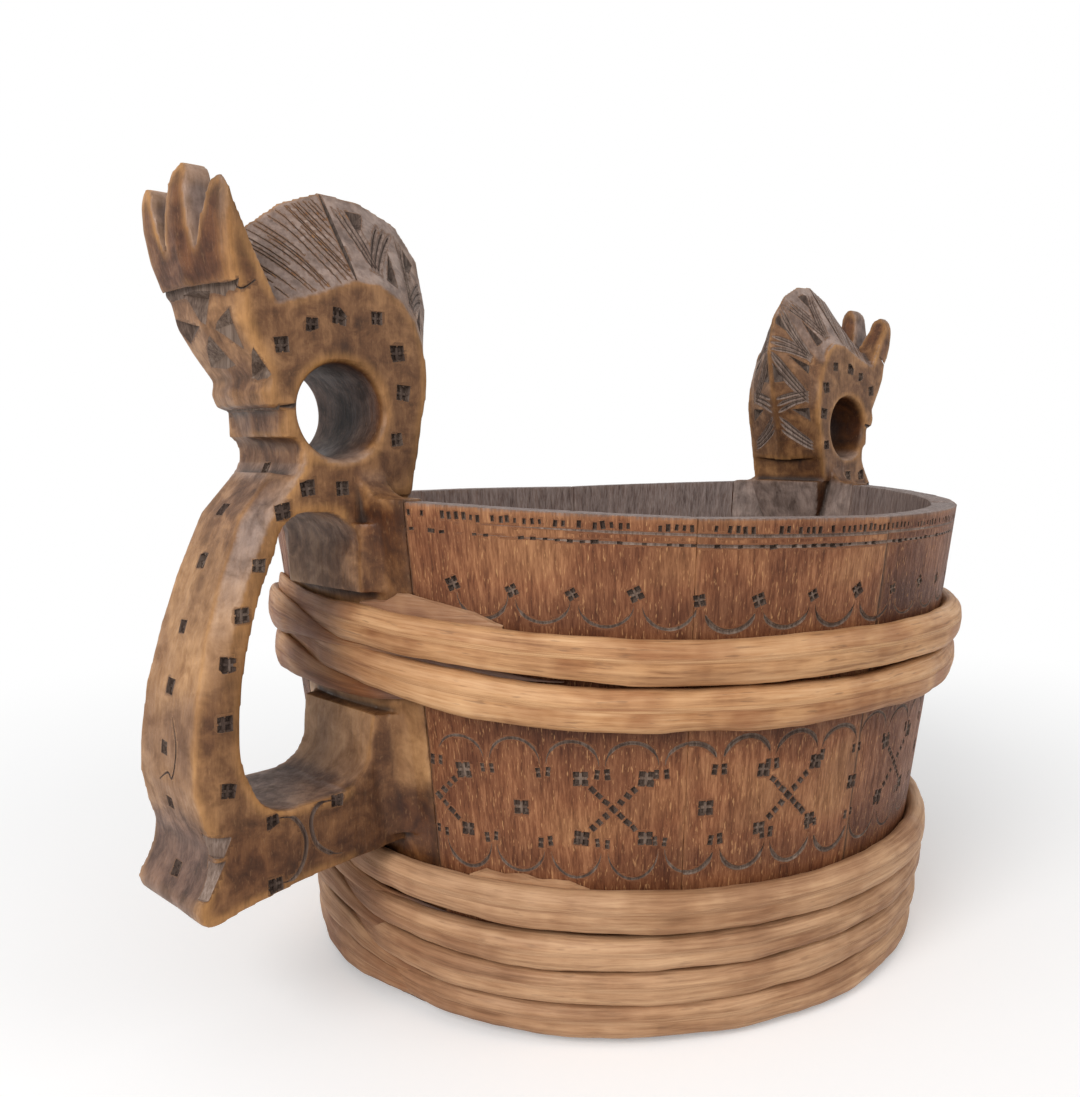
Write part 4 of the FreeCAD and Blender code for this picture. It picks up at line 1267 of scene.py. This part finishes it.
def makeFloor():  # pale paper that keeps the shadow and fades into the white further out
    mesh = bpy.data.meshes.new("floor")
    wide = studio["floorWide"]
    corners = [(x * wide, y * wide, 0) for x, y in ((-1, -1), (1, -1), (1, 1), (-1, 1))]
    mesh.from_pydata(corners, [], [(0, 1, 2, 3)])
    material = bpy.data.materials.new("paleFloor")
    material.use_nodes = True
    tree = material.node_tree
    tree.nodes.clear()
    paper = made(tree, "ShaderNodeBsdfDiffuse", {"Color": (*studio["floorColor"], 1.0)})
    seen = seenDirectly(tree)
    glow = made(tree, "ShaderNodeEmission", {"Strength": times(tree, seen, studio["floorGlow"])})
    both = made(tree, "ShaderNodeAddShader", {0: paper, 1: glow})
    place = addNode(tree, "ShaderNodeTexCoord").outputs["Object"]
    away = addNode(tree, "ShaderNodeVectorMath", {0: place}, operation="LENGTH").outputs["Value"]
    fade = times(tree, seen, ease(tree, away, studio["fadeFrom"], studio["fadeTo"], 0.0, 1.0))
    white = made(tree, "ShaderNodeEmission", {"Strength": 1.0})
    faded = made(tree, "ShaderNodeMixShader", {0: fade, 1: both, 2: white})
    addNode(tree, "ShaderNodeOutputMaterial", {"Surface": faded})
    mesh.materials.append(material)
    show(mesh, "floor")


def makeSky():
    world = bpy.data.worlds.new("sky")
    bpy.context.scene.world = world
    world.use_nodes = True
    tree = world.node_tree
    extra = times(tree, seenDirectly(tree), 1.0 - studio["skyLight"])
    sky = tree.nodes["Background"].inputs
    tree.links.new(plus(tree, extra, studio["skyLight"]), sky["Strength"])
    sky["Color"].default_value = (1, 1, 1, 1)


def makeLamp(name, place, size, power):
    lamp = bpy.data.lights.new(name, "AREA")
    lamp.shape = "DISK"
    lamp.size = size
    lamp.energy = power
    holder = show(lamp, name)
    holder.location = place
    ahead = Vector(studio["aim"]) - Vector(place)
    holder.rotation_euler = ahead.to_track_quat("-Z", "Y").to_euler()


makeFloor()
makeSky()
for name, lamp in lamps.items():
    makeLamp(name, *lamp)

cameraForm = {  # millimetres and degrees; focal length in pixels of the 1080 x 1097 frame
    "around": 45.04, "distance": 365.21, "height": 155.31, "yaw": 1.2347, "pitch": -5.2987, "roll": 0.3297,
    "focal": 1073.74, "centre": 640.0, "frameWide": 1080.0, "frameTall": 1097.0, "sensor": 36.0}


def makeCamera():
    form = cameraForm
    around = math.radians(form["around"])
    far = -form["distance"]
    place = toPoint(math.sin(around) * far, math.cos(around) * far, form["height"])
    heading = around + math.radians(form["yaw"])
    level = Vector((math.sin(heading), math.cos(heading), 0))
    right = Vector((level.y, -level.x, 0))
    up = Vector((0, 0, 1))
    pitch, roll = math.radians(form["pitch"]), math.radians(form["roll"])
    ahead = level * math.cos(pitch) + up * math.sin(pitch)
    over = -level * math.sin(pitch) + up * math.cos(pitch)
    sideways = right * math.cos(roll) + over * math.sin(roll)
    top = -right * math.sin(roll) + over * math.cos(roll)
    lens = bpy.data.cameras.new("camera")
    lens.sensor_width = form["sensor"]
    lens.lens = form["focal"] * form["sensor"] / form["frameTall"]
    lens.shift_x = (form["frameWide"] / 2 - form["centre"]) / form["frameTall"]
    lens.clip_start = 0.01
    camera = show(lens, "camera")
    turned = Matrix((sideways, top, -ahead)).transposed()
    camera.matrix_world = Matrix.Translation(place) @ turned.to_4x4()
    bpy.context.scene.camera = camera


makeCamera()
bpy.context.scene.view_settings.view_transform = "Standard"

for stamp in stamps:
    discard(stamp)
